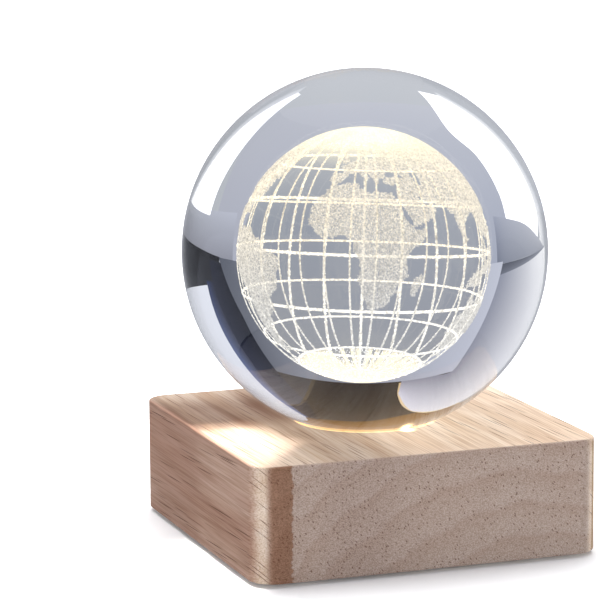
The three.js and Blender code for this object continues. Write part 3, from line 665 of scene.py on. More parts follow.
NORTH_AMERICA = """-168,65.6 -161.5,66.4 -166.5,68.4 -156.5,71.3 -141,69.7 -128,70.4 -115,68.2 -108,68
-95,67.9 -94,71.8 -90,68.8 -85.5,69.7 -82,68 -87,64.5 -94,61 -94.5,58.8 -92.5,57 -85,55.3 -82.3,52.9
-80,51.3 -79,54 -76.6,56.5 -78.5,60 -77.5,62.5 -70,61 -67.5,58.3 -64.5,60.3 -61.5,56 -57,53.5 -56,51.5
-60,50.2 -66.5,50.2 -65,48.5 -64,46 -60.5,46 -66,43.6 -67,44.7 -70.5,43 -70,41.6 -74,40.5 -75.8,36.8
-76,34.8 -81,31.8 -80,26.7 -80.6,25.2 -82.7,28 -84.2,30 -89.4,29.5 -94,29.6 -97.3,27.5 -97.7,22.5
-95.9,18.8 -92,18.7 -90.4,21 -87,21.4 -88.2,17.5 -88.6,15.9 -83.3,14.9 -83.7,11 -81.8,8.9 -79.5,9.5
-77.5,8.6 -80,7.4 -83,8.3 -85.7,10 -87.6,12.9 -92,14.3 -94.6,16.2 -101,17.5 -105.6,20.3 -105.8,22.8
-109.3,26 -112.8,31 -114.7,31.5 -112.3,28 -109.8,23.2 -112.2,25 -115,28.5 -117.2,32.8 -120.6,34.6
-122.5,37.6 -124.3,40.4 -124,46.3 -124.5,48.3 -122.8,49 -127.8,51.2 -130.5,54.7 -135,58.5 -140,59.8
-147,61 -151.5,60 -152,59.2 -158,56.6 -163.5,54.9 -158,58.4 -162,58.8 -165.5,61 -164.8,63 -161,64.2
-166,64.6"""
SOUTH_AMERICA = """-77.5,8.5 -75.5,10.7 -71.7,12.3 -71.5,11 -68,10.6 -62,10.7 -60,8.5 -57,6 -52,5
-50,1.5 -48,-0.8 -44.5,-2.5 -40,-2.9 -37,-4.9 -35,-6 -34.9,-8.5 -37.3,-11.5 -39,-13.5 -39,-17.5 -41,-22
-44.5,-23.2 -48.3,-25.6 -48.7,-28.5 -52,-32.5 -54.5,-34.8 -58.2,-34 -57,-36.5 -58,-38.3 -62.2,-39
-65,-41 -63.8,-42.8 -67.5,-46 -65.8,-47.8 -69,-51 -68.3,-52.5 -65.2,-54.8 -70,-55.3 -74.5,-52 -75.5,-47
-73.5,-42 -73.5,-37 -71.5,-30 -70.3,-22 -70.3,-18.4 -76,-14 -79.5,-7.5 -81.2,-5 -80,-3 -80.8,-1 -80,0.9
-77.3,3.8 -77.4,6.8"""
AUSTRALIA = """114.2,-21.8 113.5,-26 115.7,-31.8 115.2,-34.3 118,-35 123.5,-33.9 129,-31.6 131.5,-31.5
135.6,-34.8 138.2,-34.4 140.8,-38 144.5,-38.3 146.4,-39.1 149.9,-37.5 151.2,-33.8 153.6,-28.6 152.8,-25
149,-20.8 146.2,-18.8 145.3,-15 142.6,-10.9 141.6,-14 139.6,-17.6 135.6,-15 136.7,-12.2 132,-11.4
129.6,-14.9 126.8,-13.9 122.2,-17.4 121,-19.6"""
GREENLAND = """-43.5,60 -48,61 -53.5,67 -51,70 -55,73 -62,76 -71,77.5 -73,78.3 -66,80 -60,82 -45,82.8
-30,83.6 -20,82.3 -18,79.5 -20,76 -20,73.5 -25,71 -26,69 -33,67.8 -38,65.8 -41,63.5"""
ANTARCTICA = """-180,-78 -160,-77.5 -150,-76.5 -130,-74 -100,-73 -75,-73 -68,-70 -62,-64.5 -57,-63.5
-62,-68 -61,-74 -50,-77.5 -30,-77 -15,-72.5 0,-70 20,-70 40,-69 55,-66.5 70,-68.5 80,-67.5 95,-66
115,-66.5 135,-66 150,-68.5 165,-70.5 168,-77 180,-78 180,-91 -180,-91"""
ISLANDS = """-5.5,50 1.5,51.2 1.6,52.8 0,53.7 -1.6,55.5 -2,57.6 -3,58.6 -6.2,57.8 -4.8,55 -3,53.9 -4.6,52.8
-5,51.8 -3,51.4 /
-6,52.2 -6,54.2 -8,55.2 -10,54 -10,51.7 /
-22.5,64 -14,64.8 -15,66.3 -22,66.3 /
49.2,-12 50.3,-15.5 47.2,-24.8 45,-25.4 43.5,-22.5 44.4,-16.3 /
79.8,9.5 81.8,7.5 80.3,6 79.8,7 /
130,31.5 131.5,33.5 135,33.6 140,35.2 141,38.5 141.5,41.3 145,43.5 142,45.4 140.2,42.5
139.8,39.5 136.8,37.2 132.5,35.3 /
95.3,5.5 100,2 106,-3 105.5,-5.8 102,-4 98.5,0.5 /
105.3,-6.6 114.3,-7.8 114.3,-8.6 106.5,-7.4 /
109,1.8 113,3.2 117,7 119,5 117.6,0 116,-4 110.3,-2.9 109,0 /
119.5,-5.5 120.5,-1 119.8,0.8 125,1.5 121,0.5 123,-1 121.5,-3 122.5,-5 /
131,-0.8 137.8,-1.6 144.5,-3.9 147.8,-6.2 150.5,-10.4 146,-8.6 142.5,-9.2 138,-8.2 137.8,-5.3
133,-3.9 /
120.5,18.4 122.2,18.4 121.6,14.2 125.5,11.5 126.3,7 122.2,7 123,11.5 120,14.5 /
144.8,-40.8 148.2,-40.9 147.8,-43.2 146,-43.5 /
172.7,-34.5 176,-37.5 178.4,-37.8 175.3,-41.5 172.7,-43.7 170.6,-46 167,-46.5 168,-44.2
172,-41.3 174.8,-39.2 /
-62,66 -68,62.5 -78,64.5 -73,68 -85,73 -80,74 -70,71 /
-65,82.5 -90,81.5 -95,77.5 -80,76 -76,79 /
-117,69 -105,69 -105,73 -118,72.5 /
-84.5,22 -80,23 -74.5,20.2 -78,20 -82,22.2 /
-74,18.4 -73,19.9 -69,19.6 -68.5,18.2"""
CASPIAN = "47,45 51,47 53,45 53.5,40 54,37 50,37.2 49.3,40.5 47.5,43"


def coast(text):
    """An outline of (longitude, latitude) corners from its list."""
    return np.array([[float(n) for n in pair.split(",")] for pair in text.split()])


def inside(outline, places):
    """Which (longitude, latitude) places lie inside a closed outline."""
    hits = np.zeros(len(places), bool)
    lon, lat = places.T
    for (x0, y0), (x1, y1) in zip(outline, np.roll(outline, -1, axis=0)):
        if y0 == y1:
            continue
        spans = (lat < y0) != (lat < y1)
        hits ^= spans & (lon < x0 + (lat - y0) * (x1 - x0) / (y1 - y0))
    return hits


def globe_place(sizes):
    """The function that takes longitude and latitude in degrees to points in the frame."""
    facing = sizes.facing
    right = Vector((math.cos(facing), math.sin(facing), 0))
    front = Vector((math.sin(facing), -math.cos(facing), 0))
    turn = (
        Matrix.Rotation(-sizes.roll, 3, front)
        @ Matrix.Rotation(-sizes.lean, 3, right)
        @ Matrix.Rotation(facing - math.pi / 2 - sizes.facing_longitude, 3, "Z")
    )
    turn = np.array(turn)
    centre = np.array(BALL_CENTRE) + np.array(sizes.shift)

    def at(longitude, latitude, lift=0.0):
        lon, lat = np.broadcast_arrays(np.radians(longitude), np.radians(latitude))
        way = np.stack([np.cos(lat) * np.cos(lon), np.cos(lat) * np.sin(lon), np.sin(lat)], -1)
        return centre + way @ turn.T * (sizes.radius + lift)

    return at


def grid_cells(at, lon, lat, kept):
    """Quads of a longitude and latitude grid, where kept is true."""
    corners = at(*np.meshgrid(lon, lat)).reshape(-1, 3)
    columns = len(lon)
    row, column = np.nonzero(kept)
    first = row * columns + column
    return corners, np.stack([first, first + 1, first + columns + 1, first + columns], 1)


def land_cells(at, shift, west, east, low=-59, high=84, cell=0.9):
    """A thin sheet over all land between two longitudes and two latitudes."""
    lon = np.arange(west, east + cell / 2, cell)
    lat = np.arange(low, high + cell / 2, cell)
    middles = np.meshgrid((lon[:-1] + lon[1:]) / 2, (lat[:-1] + lat[1:]) / 2 - math.degrees(shift))
    middle = np.stack([c.ravel() for c in middles], 1)
    mainlands = (AFRICA, EURASIA, NORTH_AMERICA, SOUTH_AMERICA, AUSTRALIA, GREENLAND, ANTARCTICA)
    lands = [coast(outline) for outline in (*mainlands, *ISLANDS.split("/"))]
    dry = np.zeros(len(middle), bool)
    for outline in lands:
        dry |= inside(outline, middle)
    dry &= ~inside(coast(CASPIAN), middle)
    return grid_cells(at, lon, lat, dry.reshape(len(lat) - 1, len(lon) - 1))


def meridian_edges(sizes, width):
    """Both edges of every line from pole to pole, as (longitudes, latitudes)."""
    half = math.degrees(width / 2 / sizes.radius)
    apart = math.degrees(sizes.parallel_step)
    rim = int(90 / apart) * apart
    along = np.linspace(-rim, rim, 65)
    spread = half / np.cos(np.radians(along))
    for k in range(sizes.meridians):
        lon = math.degrees(sizes.first_meridian) + 360 * k / sizes.meridians
        yield (lon - spread, along), (lon + spread, along)


def parallel_edges(sizes, width):
    """Both edges of every line round the globe, as (longitudes, latitudes)."""
    half = math.degrees(width / 2 / sizes.radius)
    apart = math.degrees(sizes.parallel_step)
    first = math.degrees(sizes.first_parallel)
    around = np.linspace(-180, 180, 91)
    for lat in first + apart * np.arange(-4, 4):
        yield (around, np.full_like(around, lat - half)), (around, np.full_like(around, lat + half))


def cap_shell(at, edge, pole, thick):
    """The latitudes, corners and faces of a closed lens over a pole, thickest there and sharp at its edge."""
    share = np.linspace(0, 1, 16)[1:]
    lat = pole + (edge - pole) * share
    lift = thick * np.cos(share * math.pi / 2)
    over, under = list(zip(lat, lift)), list(zip(lat[-2::-1], -lift[-2::-1]))
    profile = [(pole, thick)] + over + under + [(pole, -thick)]
    rows, corners, ring = [], [], 90
    around = np.arange(ring) * 360 / ring
    for height, up in profile:
        at_pole = height == pole
        rows.append([len(corners)] * ring if at_pole else list(range(len(corners), len(corners) + ring)))
        corners += list(at(around[:1] if at_pole else around, height, up))
    faces = []
    for low, high in zip(rows, rows[1:]):
        for k in range(ring):
            face = [low[k], low[(k + 1) % ring], high[(k + 1) % ring], high[k]]
            faces.append([c for i, c in enumerate(face) if c not in face[:i]])
    lats = np.concatenate([[h] if h == pole else np.full(ring, h) for h, _ in profile])
    return lats, corners, faces


def line_sheet(at, edges):
    """A flat strip between each pair of edges."""
    corners, faces = [], []
    for first, second in edges:
        start, count = sum(map(len, corners)), len(first[0])
        corners.append(np.concatenate([at(*first), at(*second)]))
        faces += [(k, k + 1, k + count + 1, k + count) for k in range(start, start + count - 1)]
    return np.concatenate(corners), faces


def line_bars(at, edges, lift):
    """A thin closed bar between each pair of edges."""
    corners, faces = [], []
    for left, right in edges:
        start, count = sum(map(len, corners)), len(left[0])
        ring = [at(*left, -lift), at(*right, -lift), at(*right, lift), at(*left, lift)]
        corners.append(np.stack(ring, 1).reshape(-1, 3))
        for k in range(count - 1):
            a = start + 4 * k
            faces += [(a + i, a + (i + 1) % 4, a + 4 + (i + 1) % 4, a + 4 + i) for i in range(4)]
        last = start + 4 * (count - 1)
        faces += [(start + 3, start + 2, start + 1, start), (last, last + 1, last + 2, last + 3)]
    return np.concatenate(corners), faces


def dot_tree():
    """Geometry Nodes that scatter small specks over a sheet, in a thin layer round it."""
    tree = bpy.data.node_groups.new("engraved_specks", "GeometryNodeTree")
    inputs = {
        "Geometry": "Geometry", "Specks per square metre": "Float", "Speck radius": "Float",
        "Layer depth": "Float", "Seed": "Int", "Material": "Material",
    }
    for name, kind in inputs.items():
        tree.interface.new_socket(name, in_out="INPUT", socket_type="NodeSocket" + kind)
    tree.interface.new_socket("Geometry", in_out="OUTPUT", socket_type="NodeSocketGeometry")
    given = add(tree, "NodeGroupInput").outputs
    seed, radius = given["Seed"], given["Speck radius"]
    fade = add(tree, "GeometryNodeInputNamedAttribute", {"Name": "fade"}, data_type="FLOAT")
    whole, share = given["Specks per square metre"], fade.outputs["Attribute"]
    density = add(tree, "ShaderNodeMath", {0: whole, 1: share}, operation="MULTIPLY")
    values = {"Mesh": given["Geometry"], "Density": density, "Seed": seed}
    scatter = add(tree, "GeometryNodeDistributePointsOnFaces", values, distribute_method="RANDOM").outputs
    out = given["Layer depth"]
    deep = add(tree, "ShaderNodeMath", {0: out, 1: -1.0}, operation="MULTIPLY")
    layer = add(tree, "FunctionNodeRandomValue", {2: deep, 3: out, "Seed": seed}, data_type="FLOAT")
    values = {0: scatter["Normal"], "Scale": layer.outputs[1]}
    offset = add(tree, "ShaderNodeVectorMath", values, operation="SCALE")
    moved = add(tree, "GeometryNodeSetPosition", {"Geometry": scatter["Points"], "Offset": offset})
    # A crack is a tiny pyramid of four faces, taller than the radius of its foot
    tall = add(tree, "ShaderNodeMath", {0: radius, 1: 1.4}, operation="MULTIPLY")
    values = {"Vertices": 3, "Radius Top": 0.0, "Radius Bottom": radius, "Depth": tall}
    speck = add(tree, "GeometryNodeMeshCone", values, fill_type="NGON")
    full_turns = (2 * math.pi,) * 3
    turn = add(tree, "FunctionNodeRandomValue", {1: full_turns, "Seed": seed}, data_type="FLOAT_VECTOR")
    size = add(tree, "FunctionNodeRandomValue", {2: 0.7, 3: 1.3, "Seed": seed}, data_type="FLOAT")
    values = {"Points": moved, "Instance": speck, "Rotation": turn, "Scale": size.outputs[1]}
    placed = add(tree, "GeometryNodeInstanceOnPoints", values)
    real = add(tree, "GeometryNodeRealizeInstances", {"Geometry": placed})
    painted = add(tree, "GeometryNodeSetMaterial", {"Geometry": real, "Material": given["Material"]})
    add(tree, "NodeGroupOutput", {"Geometry": painted})
    return tree


def specks(tree, name, sheet, fade, per_mm2, radius, depth, seed, material):
    """One cloud of engraved specks over a sheet, thinned by fade at each of its corners."""
    made = mesh_piece(name, *sheet)
    paint_corners(made, "fade", fade)
    modifier = made.modifiers.new("specks", "NODES")
    modifier.node_group = tree
    values = {
        "Specks per square metre": per_mm2 / MM**2, "Speck radius": radius, "Layer depth": depth,
        "Seed": seed, "Material": material,
    }
    for item in tree.interface.items_tree:
        if item.in_out == "INPUT" and item.name in values:
            modifier[item.identifier] = values[item.name]
    applied(made)
    if not made.data.polygons:
        raise RuntimeError(name + " has no specks")
    return made


# Operators

class GLOBEAWARD_OT_crystal_ball(bpy.types.Operator):
    """Builds the polished crystal ball"""

    bl_idname = "globe_award.crystal_ball"
    bl_label = "Crystal ball"

    def execute(self, context):
        sizes = context.scene.globe_award_ball
        profile = ball_profile(sizes.radius, sizes.around // 2)
        made = turned("crystal_ball", profile, sizes.around, crystal_material(sizes.index), place=BALL_CENTRE)
        made.data.shade_smooth()
        made.visible_shadow = False
        settle(made, "ball", "crystal", "glass_ball")
        return {"FINISHED"}


class GLOBEAWARD_OT_engraving(bpy.types.Operator):
    """Engraves the globe's lines, land and polar caps in the ball"""

    bl_idname = "globe_award.engraving"
    bl_label = "Engraved globe"

    def execute(self, context):
        sizes = context.scene.globe_award_globe
        at = globe_place(sizes)
        clouds = self.lines(sizes, at) + self.land(sizes, at) + self.caps(sizes, at)
        self.hazes(at)
        tree = dot_tree()
        for seed, (name, sheet, fade, per_mm2, radius, depth, material) in enumerate(clouds):
            made = specks(tree, name, sheet, fade, per_mm2, radius, depth * MM, seed, material)
            self.engrave(made)
        return {"FINISHED"}

    def engrave(self, made, *nodes):
        made.visible_shadow = False
        settle(made, "ball", "engraving", *nodes)

    def lines(self, sizes, at):
        """Builds a thin bar in each line, and returns the clouds of cracks round them."""
        warm, cool = shade(sizes.warm), shade(sizes.cool)
        line = engraving_material("engraved_parallels", cool, warm, 1.10)
        thin = engraving_material("engraved_meridians", cool, warm, 1.05)
        core = engraving_material("engraved_cores", cool, warm, 0.78)
        per_mm2, depth = 85, 0.05
        clouds = []
        # Kind of line, its edges and width, the bar's share of that width, the cracks' material, the bar's
        for name, edges, width, share, material, inner in (
            ("parallels", parallel_edges, sizes.parallel_width, 0.78, line, line),
            ("meridians", meridian_edges, sizes.meridian_width, 0.62, thin, core),
        ):
            corners, faces = line_bars(at, edges(sizes, width * share), width / 8)
            bars = outward(mesh_piece(f"engraved_{name}", corners, faces, inner))
            self.engrave(bars, *(["engraved_globe"] if name == "parallels" else []))
            sheet = line_sheet(at, edges(sizes, width))
            whole = np.ones(len(sheet[0]))
            clouds.append((f"engraved_{name}_cracks", sheet, whole, per_mm2, sizes.crack, depth, material))
        return clouds

    def land(self, sizes, at):
        """Returns the clouds of cracks over the land, in four spans of longitude."""
        material = engraving_material("engraved_land", shade(sizes.land), shade(sizes.land_top), 0.88)
        per_mm2, radius, depth = sizes.land_density, sizes.land_crack, 0.12
        clouds = []
        for k, (west, east) in enumerate(((-180, -24), (-24, 24), (24, 72), (72, 180))):
            sheet = land_cells(at, sizes.map_shift, west, east)
            whole = np.ones(len(sheet[0]))
            clouds.append((f"engraved_land_{k + 1}", sheet, whole, per_mm2, radius, depth, material))
        return clouds

    def caps(self, sizes, at):
        """Returns the clouds of cracks near the poles, thinned out away from the north pole."""
        material = engraving_material("engraved_caps", WHITE, linear("#fff2cc"), 1.6)
        radius, depth = sizes.cap_crack, 0.1
        lon = np.arange(-180, 181, 4)
        clouds = []
        for name, low, high, per_mm2 in (("north", 60, 90, 60), ("south", -90, -60, 5)):
            lat = np.arange(low, high + 1, 2)
            sheet = grid_cells(at, lon, lat, np.ones((len(lat) - 1, len(lon) - 1), bool))
            fade = np.clip((lat - 60) / 16, 0, 1) ** 1.5 if name == "north" else np.ones(len(lat))
            fade = np.repeat(fade, len(lon))
            clouds.append((f"engraved_{name}", sheet, fade, per_mm2, radius, depth, material))
        return clouds

    def hazes(self, at):
        """Builds the veil of light round each pole."""
        half_thick = 0.3 * MM
        # Name, latitudes of edge and pole, tone, share of flecks, glow in its depth, and its veil: the most,
        # the latitude where it starts, the span to its most, and how steeply it grows
        for name, edge, pole, tone, flecks, glow, (most, start, span, power) in (
            ("engraved_north_haze", 15, 90, "#fff3cf", 0.1, 95, (0.6, 46, 26, 1.5)),
            ("engraved_south_haze", -59, -90, "#fff4d4", 0.95, 45, (0.56, -59, -4, 1)),
        ):
            lat, corners, faces = cap_shell(at, edge, pole, half_thick)
            material = haze_material(name, linear(tone), at(0, pole), flecks, glow)
            haze = outward(mesh_piece(name, corners, faces, material))
            paint_corners(haze, "haze", most * np.clip((lat - start) / span, 0, 1) ** power)
            haze.data.shade_smooth()
            self.engrave(haze)


class GLOBEAWARD_OT_wood_base(bpy.types.Operator):
    """Builds the wooden base with its seat, lamp bore, rear holes and recess below"""

    bl_idname = "globe_award.wood_base"
    bl_label = "Wood base"

    def execute(self, context):
        sizes = context.scene.globe_award_base
        wood = wood_material(sizes, shade(context.scene.globe_award_lamp.glow))
        low, high = WOOD_LOW, WOOD_HIGH
        body = rounded_block("beech_base", low, high, sizes.corner, sizes.edge, 14, 4, material=wood)
        # The window, cover, socket and button clear their holes by gap, and cutters pass open faces by over
        gap, seat_gap, over = 0.3 * MM, 0.10 * MM, 1 * MM
        seat_radius = context.scene.globe_award_ball.radius + seat_gap
        socket, button = (SOCKET_LOW + SOCKET_HIGH) / 2, (BUTTON_LOW + BUTTON_HIGH) / 2
        ceiling, ledge, under = high.z - 10.6 * MM, WINDOW_LOW.z, low.z - over
        cover, ledge_below, window = COVER_HIGH.x + gap, COVER_HIGH.z, WINDOW_HIGH.x + gap
        bore, lamp_pocket, bay, board = 10.6 * MM, 21 * MM, 14 * MM, 18.3 * MM
        rear, wall, bay_front, board_top = high.y, high.y - 4 * MM, 15 * MM, 8.4 * MM
        cover_corner, bay_corner, bay_top = 4.3 * MM, 1 * MM, socket.z + 5.5 * MM
        half_socket = (SOCKET_HIGH - SOCKET_LOW) / 2 + Vector((gap, gap, gap)) / 2
        socket_low = (socket.x - half_socket.x, wall - over, socket.z - half_socket.z)
        socket_high = (socket.x + half_socket.x, rear + over, socket.z + half_socket.z)
        hole, rim, deep = BUTTON_RADIUS + gap / 2, 0.35 * MM, 4.5 * MM
        button_hole = [(0, -deep), (hole, -deep), (hole, -rim), (hole + 2 * rim, rim), (0, rim)]
        cutters = [
            turned("seat", ball_profile(seat_radius, 80), 160, place=(0, 0, BALL_CENTRE.z)),
            turned("window_recess", drum_profile(window, ledge, high.z), 96),
            turned("lamp_bore", drum_profile(bore, ceiling - over, ledge + over), 96),
            turned("lamp_pocket", drum_profile(lamp_pocket, under, ceiling), 96),
            rounded_block("cover_recess", (-cover, -cover, under), (cover, cover, ledge_below), cover_corner),
            rounded_block("rear_bay", (-bay, bay_front, under), (bay, wall, bay_top), bay_corner),
            rounded_block("board_bay", (-board, bay_front, under), (board, wall, board_top), bay_corner),
            rounded_block("socket_hole", socket_low, socket_high, half_socket.z * 0.85, axis=1),
            turned("button_hole", button_hole, 48, axis="Y", place=(button.x, rear, button.z)),
        ]
        pilot, pilot_depth, screw = 1.7 * MM, 10.3 * MM, 30 * MM
        for x in (-screw, screw):
            for y in (-screw, screw):
                cutters.append(turned("pilot", drum_profile(pilot, 0, pilot_depth), 24, place=(x, y, low.z)))
        cut(body, cutters)
        smooth(body, 40)
        weighted = body.modifiers.new("even", "WEIGHTED_NORMAL")
        weighted.keep_sharp = True
        applied(body)
        settle(body, "base", "wood", "wood_base")
        return {"FINISHED"}


class GLOBEAWARD_OT_lamp(bpy.types.Operator):
    """Finishes the light window, the reflector and the lamp board under the ball"""

    bl_idname = "globe_award.lamp"
    bl_label = "Lamp"

    def execute(self, context):
        sizes = context.scene.globe_award_lamp
        glow = shade(sizes.glow)
        repaint("light_window", glowing_material("frosted_acrylic", "#fff3dc", glow, sizes.strength))
        repaint("reflector_cup", moulded_material("white_polycarbonate", "#f1f1ee", 0.25))
        repaint("lamp_board", moulded_material("white_solder_mask", "#e4e5e0", 0.4))
        diode = glowing_material("phosphor_lamp", "#ffe9a8", glow, sizes.strength)
        ceramic = moulded_material("fired_ceramic", "#2a2a2c", 0.5)
        for k in (1, 2, 3):
            repaint(f"lamp_{k}", diode)
            repaint(f"resistor_{k}", ceramic)
        steel = moulded_material("zinc_plated_steel", "#b9bcc2", 0.32, metallic=1.0)
        for name in NODES:
            if "screw" in name:
                repaint(name, steel)
        return {"FINISHED"}


class GLOBEAWARD_OT_power(bpy.types.Operator):
    """Finishes the power board with its socket, switch, spring and wires, and the push button"""

    bl_idname = "globe_award.power"
    bl_label = "Power board and button"

    def execute(self, context):
        repaint("power_board", moulded_material("green_solder_mask", "#1f5b3a", 0.4))
        repaint("socket_shell", moulded_material("nickel_plated_steel", "#c3c5c9", 0.25, metallic=1.0))
        black = moulded_material("moulded_abs", "#1b1b1d", 0.45, relief=0.03)
        repaint("socket_tongue", black)
        repaint("switch_housing", black)
        repaint("wire_red", moulded_material("red_sleeve", "#a8231f", 0.45))
        repaint("wire_black", moulded_material("black_sleeve", "#17171a", 0.45))
        self.spring()
        self.button(black)
        return {"FINISHED"}

    def spring(self):
        radius, wire, turns = 2 * MM, 0.22 * MM, 2.5
        low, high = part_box("switch_spring")
        middle = ((low.x + high.x) / 2, (low.z + high.z) / 2)
        steel = moulded_material("spring_steel", "#a9abb0", 0.3, metallic=1.0)
        spring = coil("return_spring", middle, radius, wire, turns, low.y, high.y, steel)
        spring.data.shade_smooth()
        settle(spring, "base", "steel", "switch_spring")
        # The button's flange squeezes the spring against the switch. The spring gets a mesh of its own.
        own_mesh(spring)

    def button(self, black):
        low, high = BUTTON_LOW, BUTTON_HIGH
        radius, edge, head = BUTTON_RADIUS, 0.5 * MM, high.y - low.y
        plunger, flange, foot, thick = 0.7 * MM, 4 * MM, 3.3 * MM, 0.8 * MM
        profile = [(0, 0), (plunger, 0), (plunger, foot), (flange, foot)]
        profile += [(flange, foot + thick), (radius, foot + thick)]
        profile += [(r, head - edge + rise) for r, rise in rim_profile(radius, edge)]
        # The face is dished a little, so a fingertip finds its middle
        profile += [(radius * 0.55, head - 0.06 * MM), (radius * 0.3, head - 0.16 * MM), (0, head - 0.2 * MM)]
        place = ((low.x + high.x) / 2, low.y, (low.z + high.z) / 2)
        button = smooth(turned("push_button", profile, 64, black, axis="Y", place=place))
        settle(button, "button", "black_plastic", "button_cap")


class GLOBEAWARD_OT_underside(bpy.types.Operator):
    """Finishes the bottom cover and builds the four rubber feet"""

    bl_idname = "globe_award.underside"
    bl_label = "Cover and feet"

    def execute(self, context):
        repaint("bottom_cover", moulded_material("textured_abs", "#202022", 0.55, grain=0.35, relief=0.05))
        rubber = moulded_material("moulded_rubber", "#262627", 0.8, grain=0.3, relief=0.04)
        edge = 0.5 * MM
        for k in (1, 2, 3, 4):
            low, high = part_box(f"foot_{k}")
            radius, thick = (high.x - low.x) / 2, high.z - low.z
            rim = [(r, edge - rise) for r, rise in reversed(rim_profile(radius, edge))]
            place = ((low.x + high.x) / 2, (low.y + high.y) / 2, low.z)
            profile = [(0, 0)] + rim + [(radius, thick), (0, thick)]
            foot = smooth(turned(f"rubber_foot_{k}", profile, 64, rubber, place=place))
            settle(foot, "base", "rubber", f"foot_{k}")
        return {"FINISHED"}


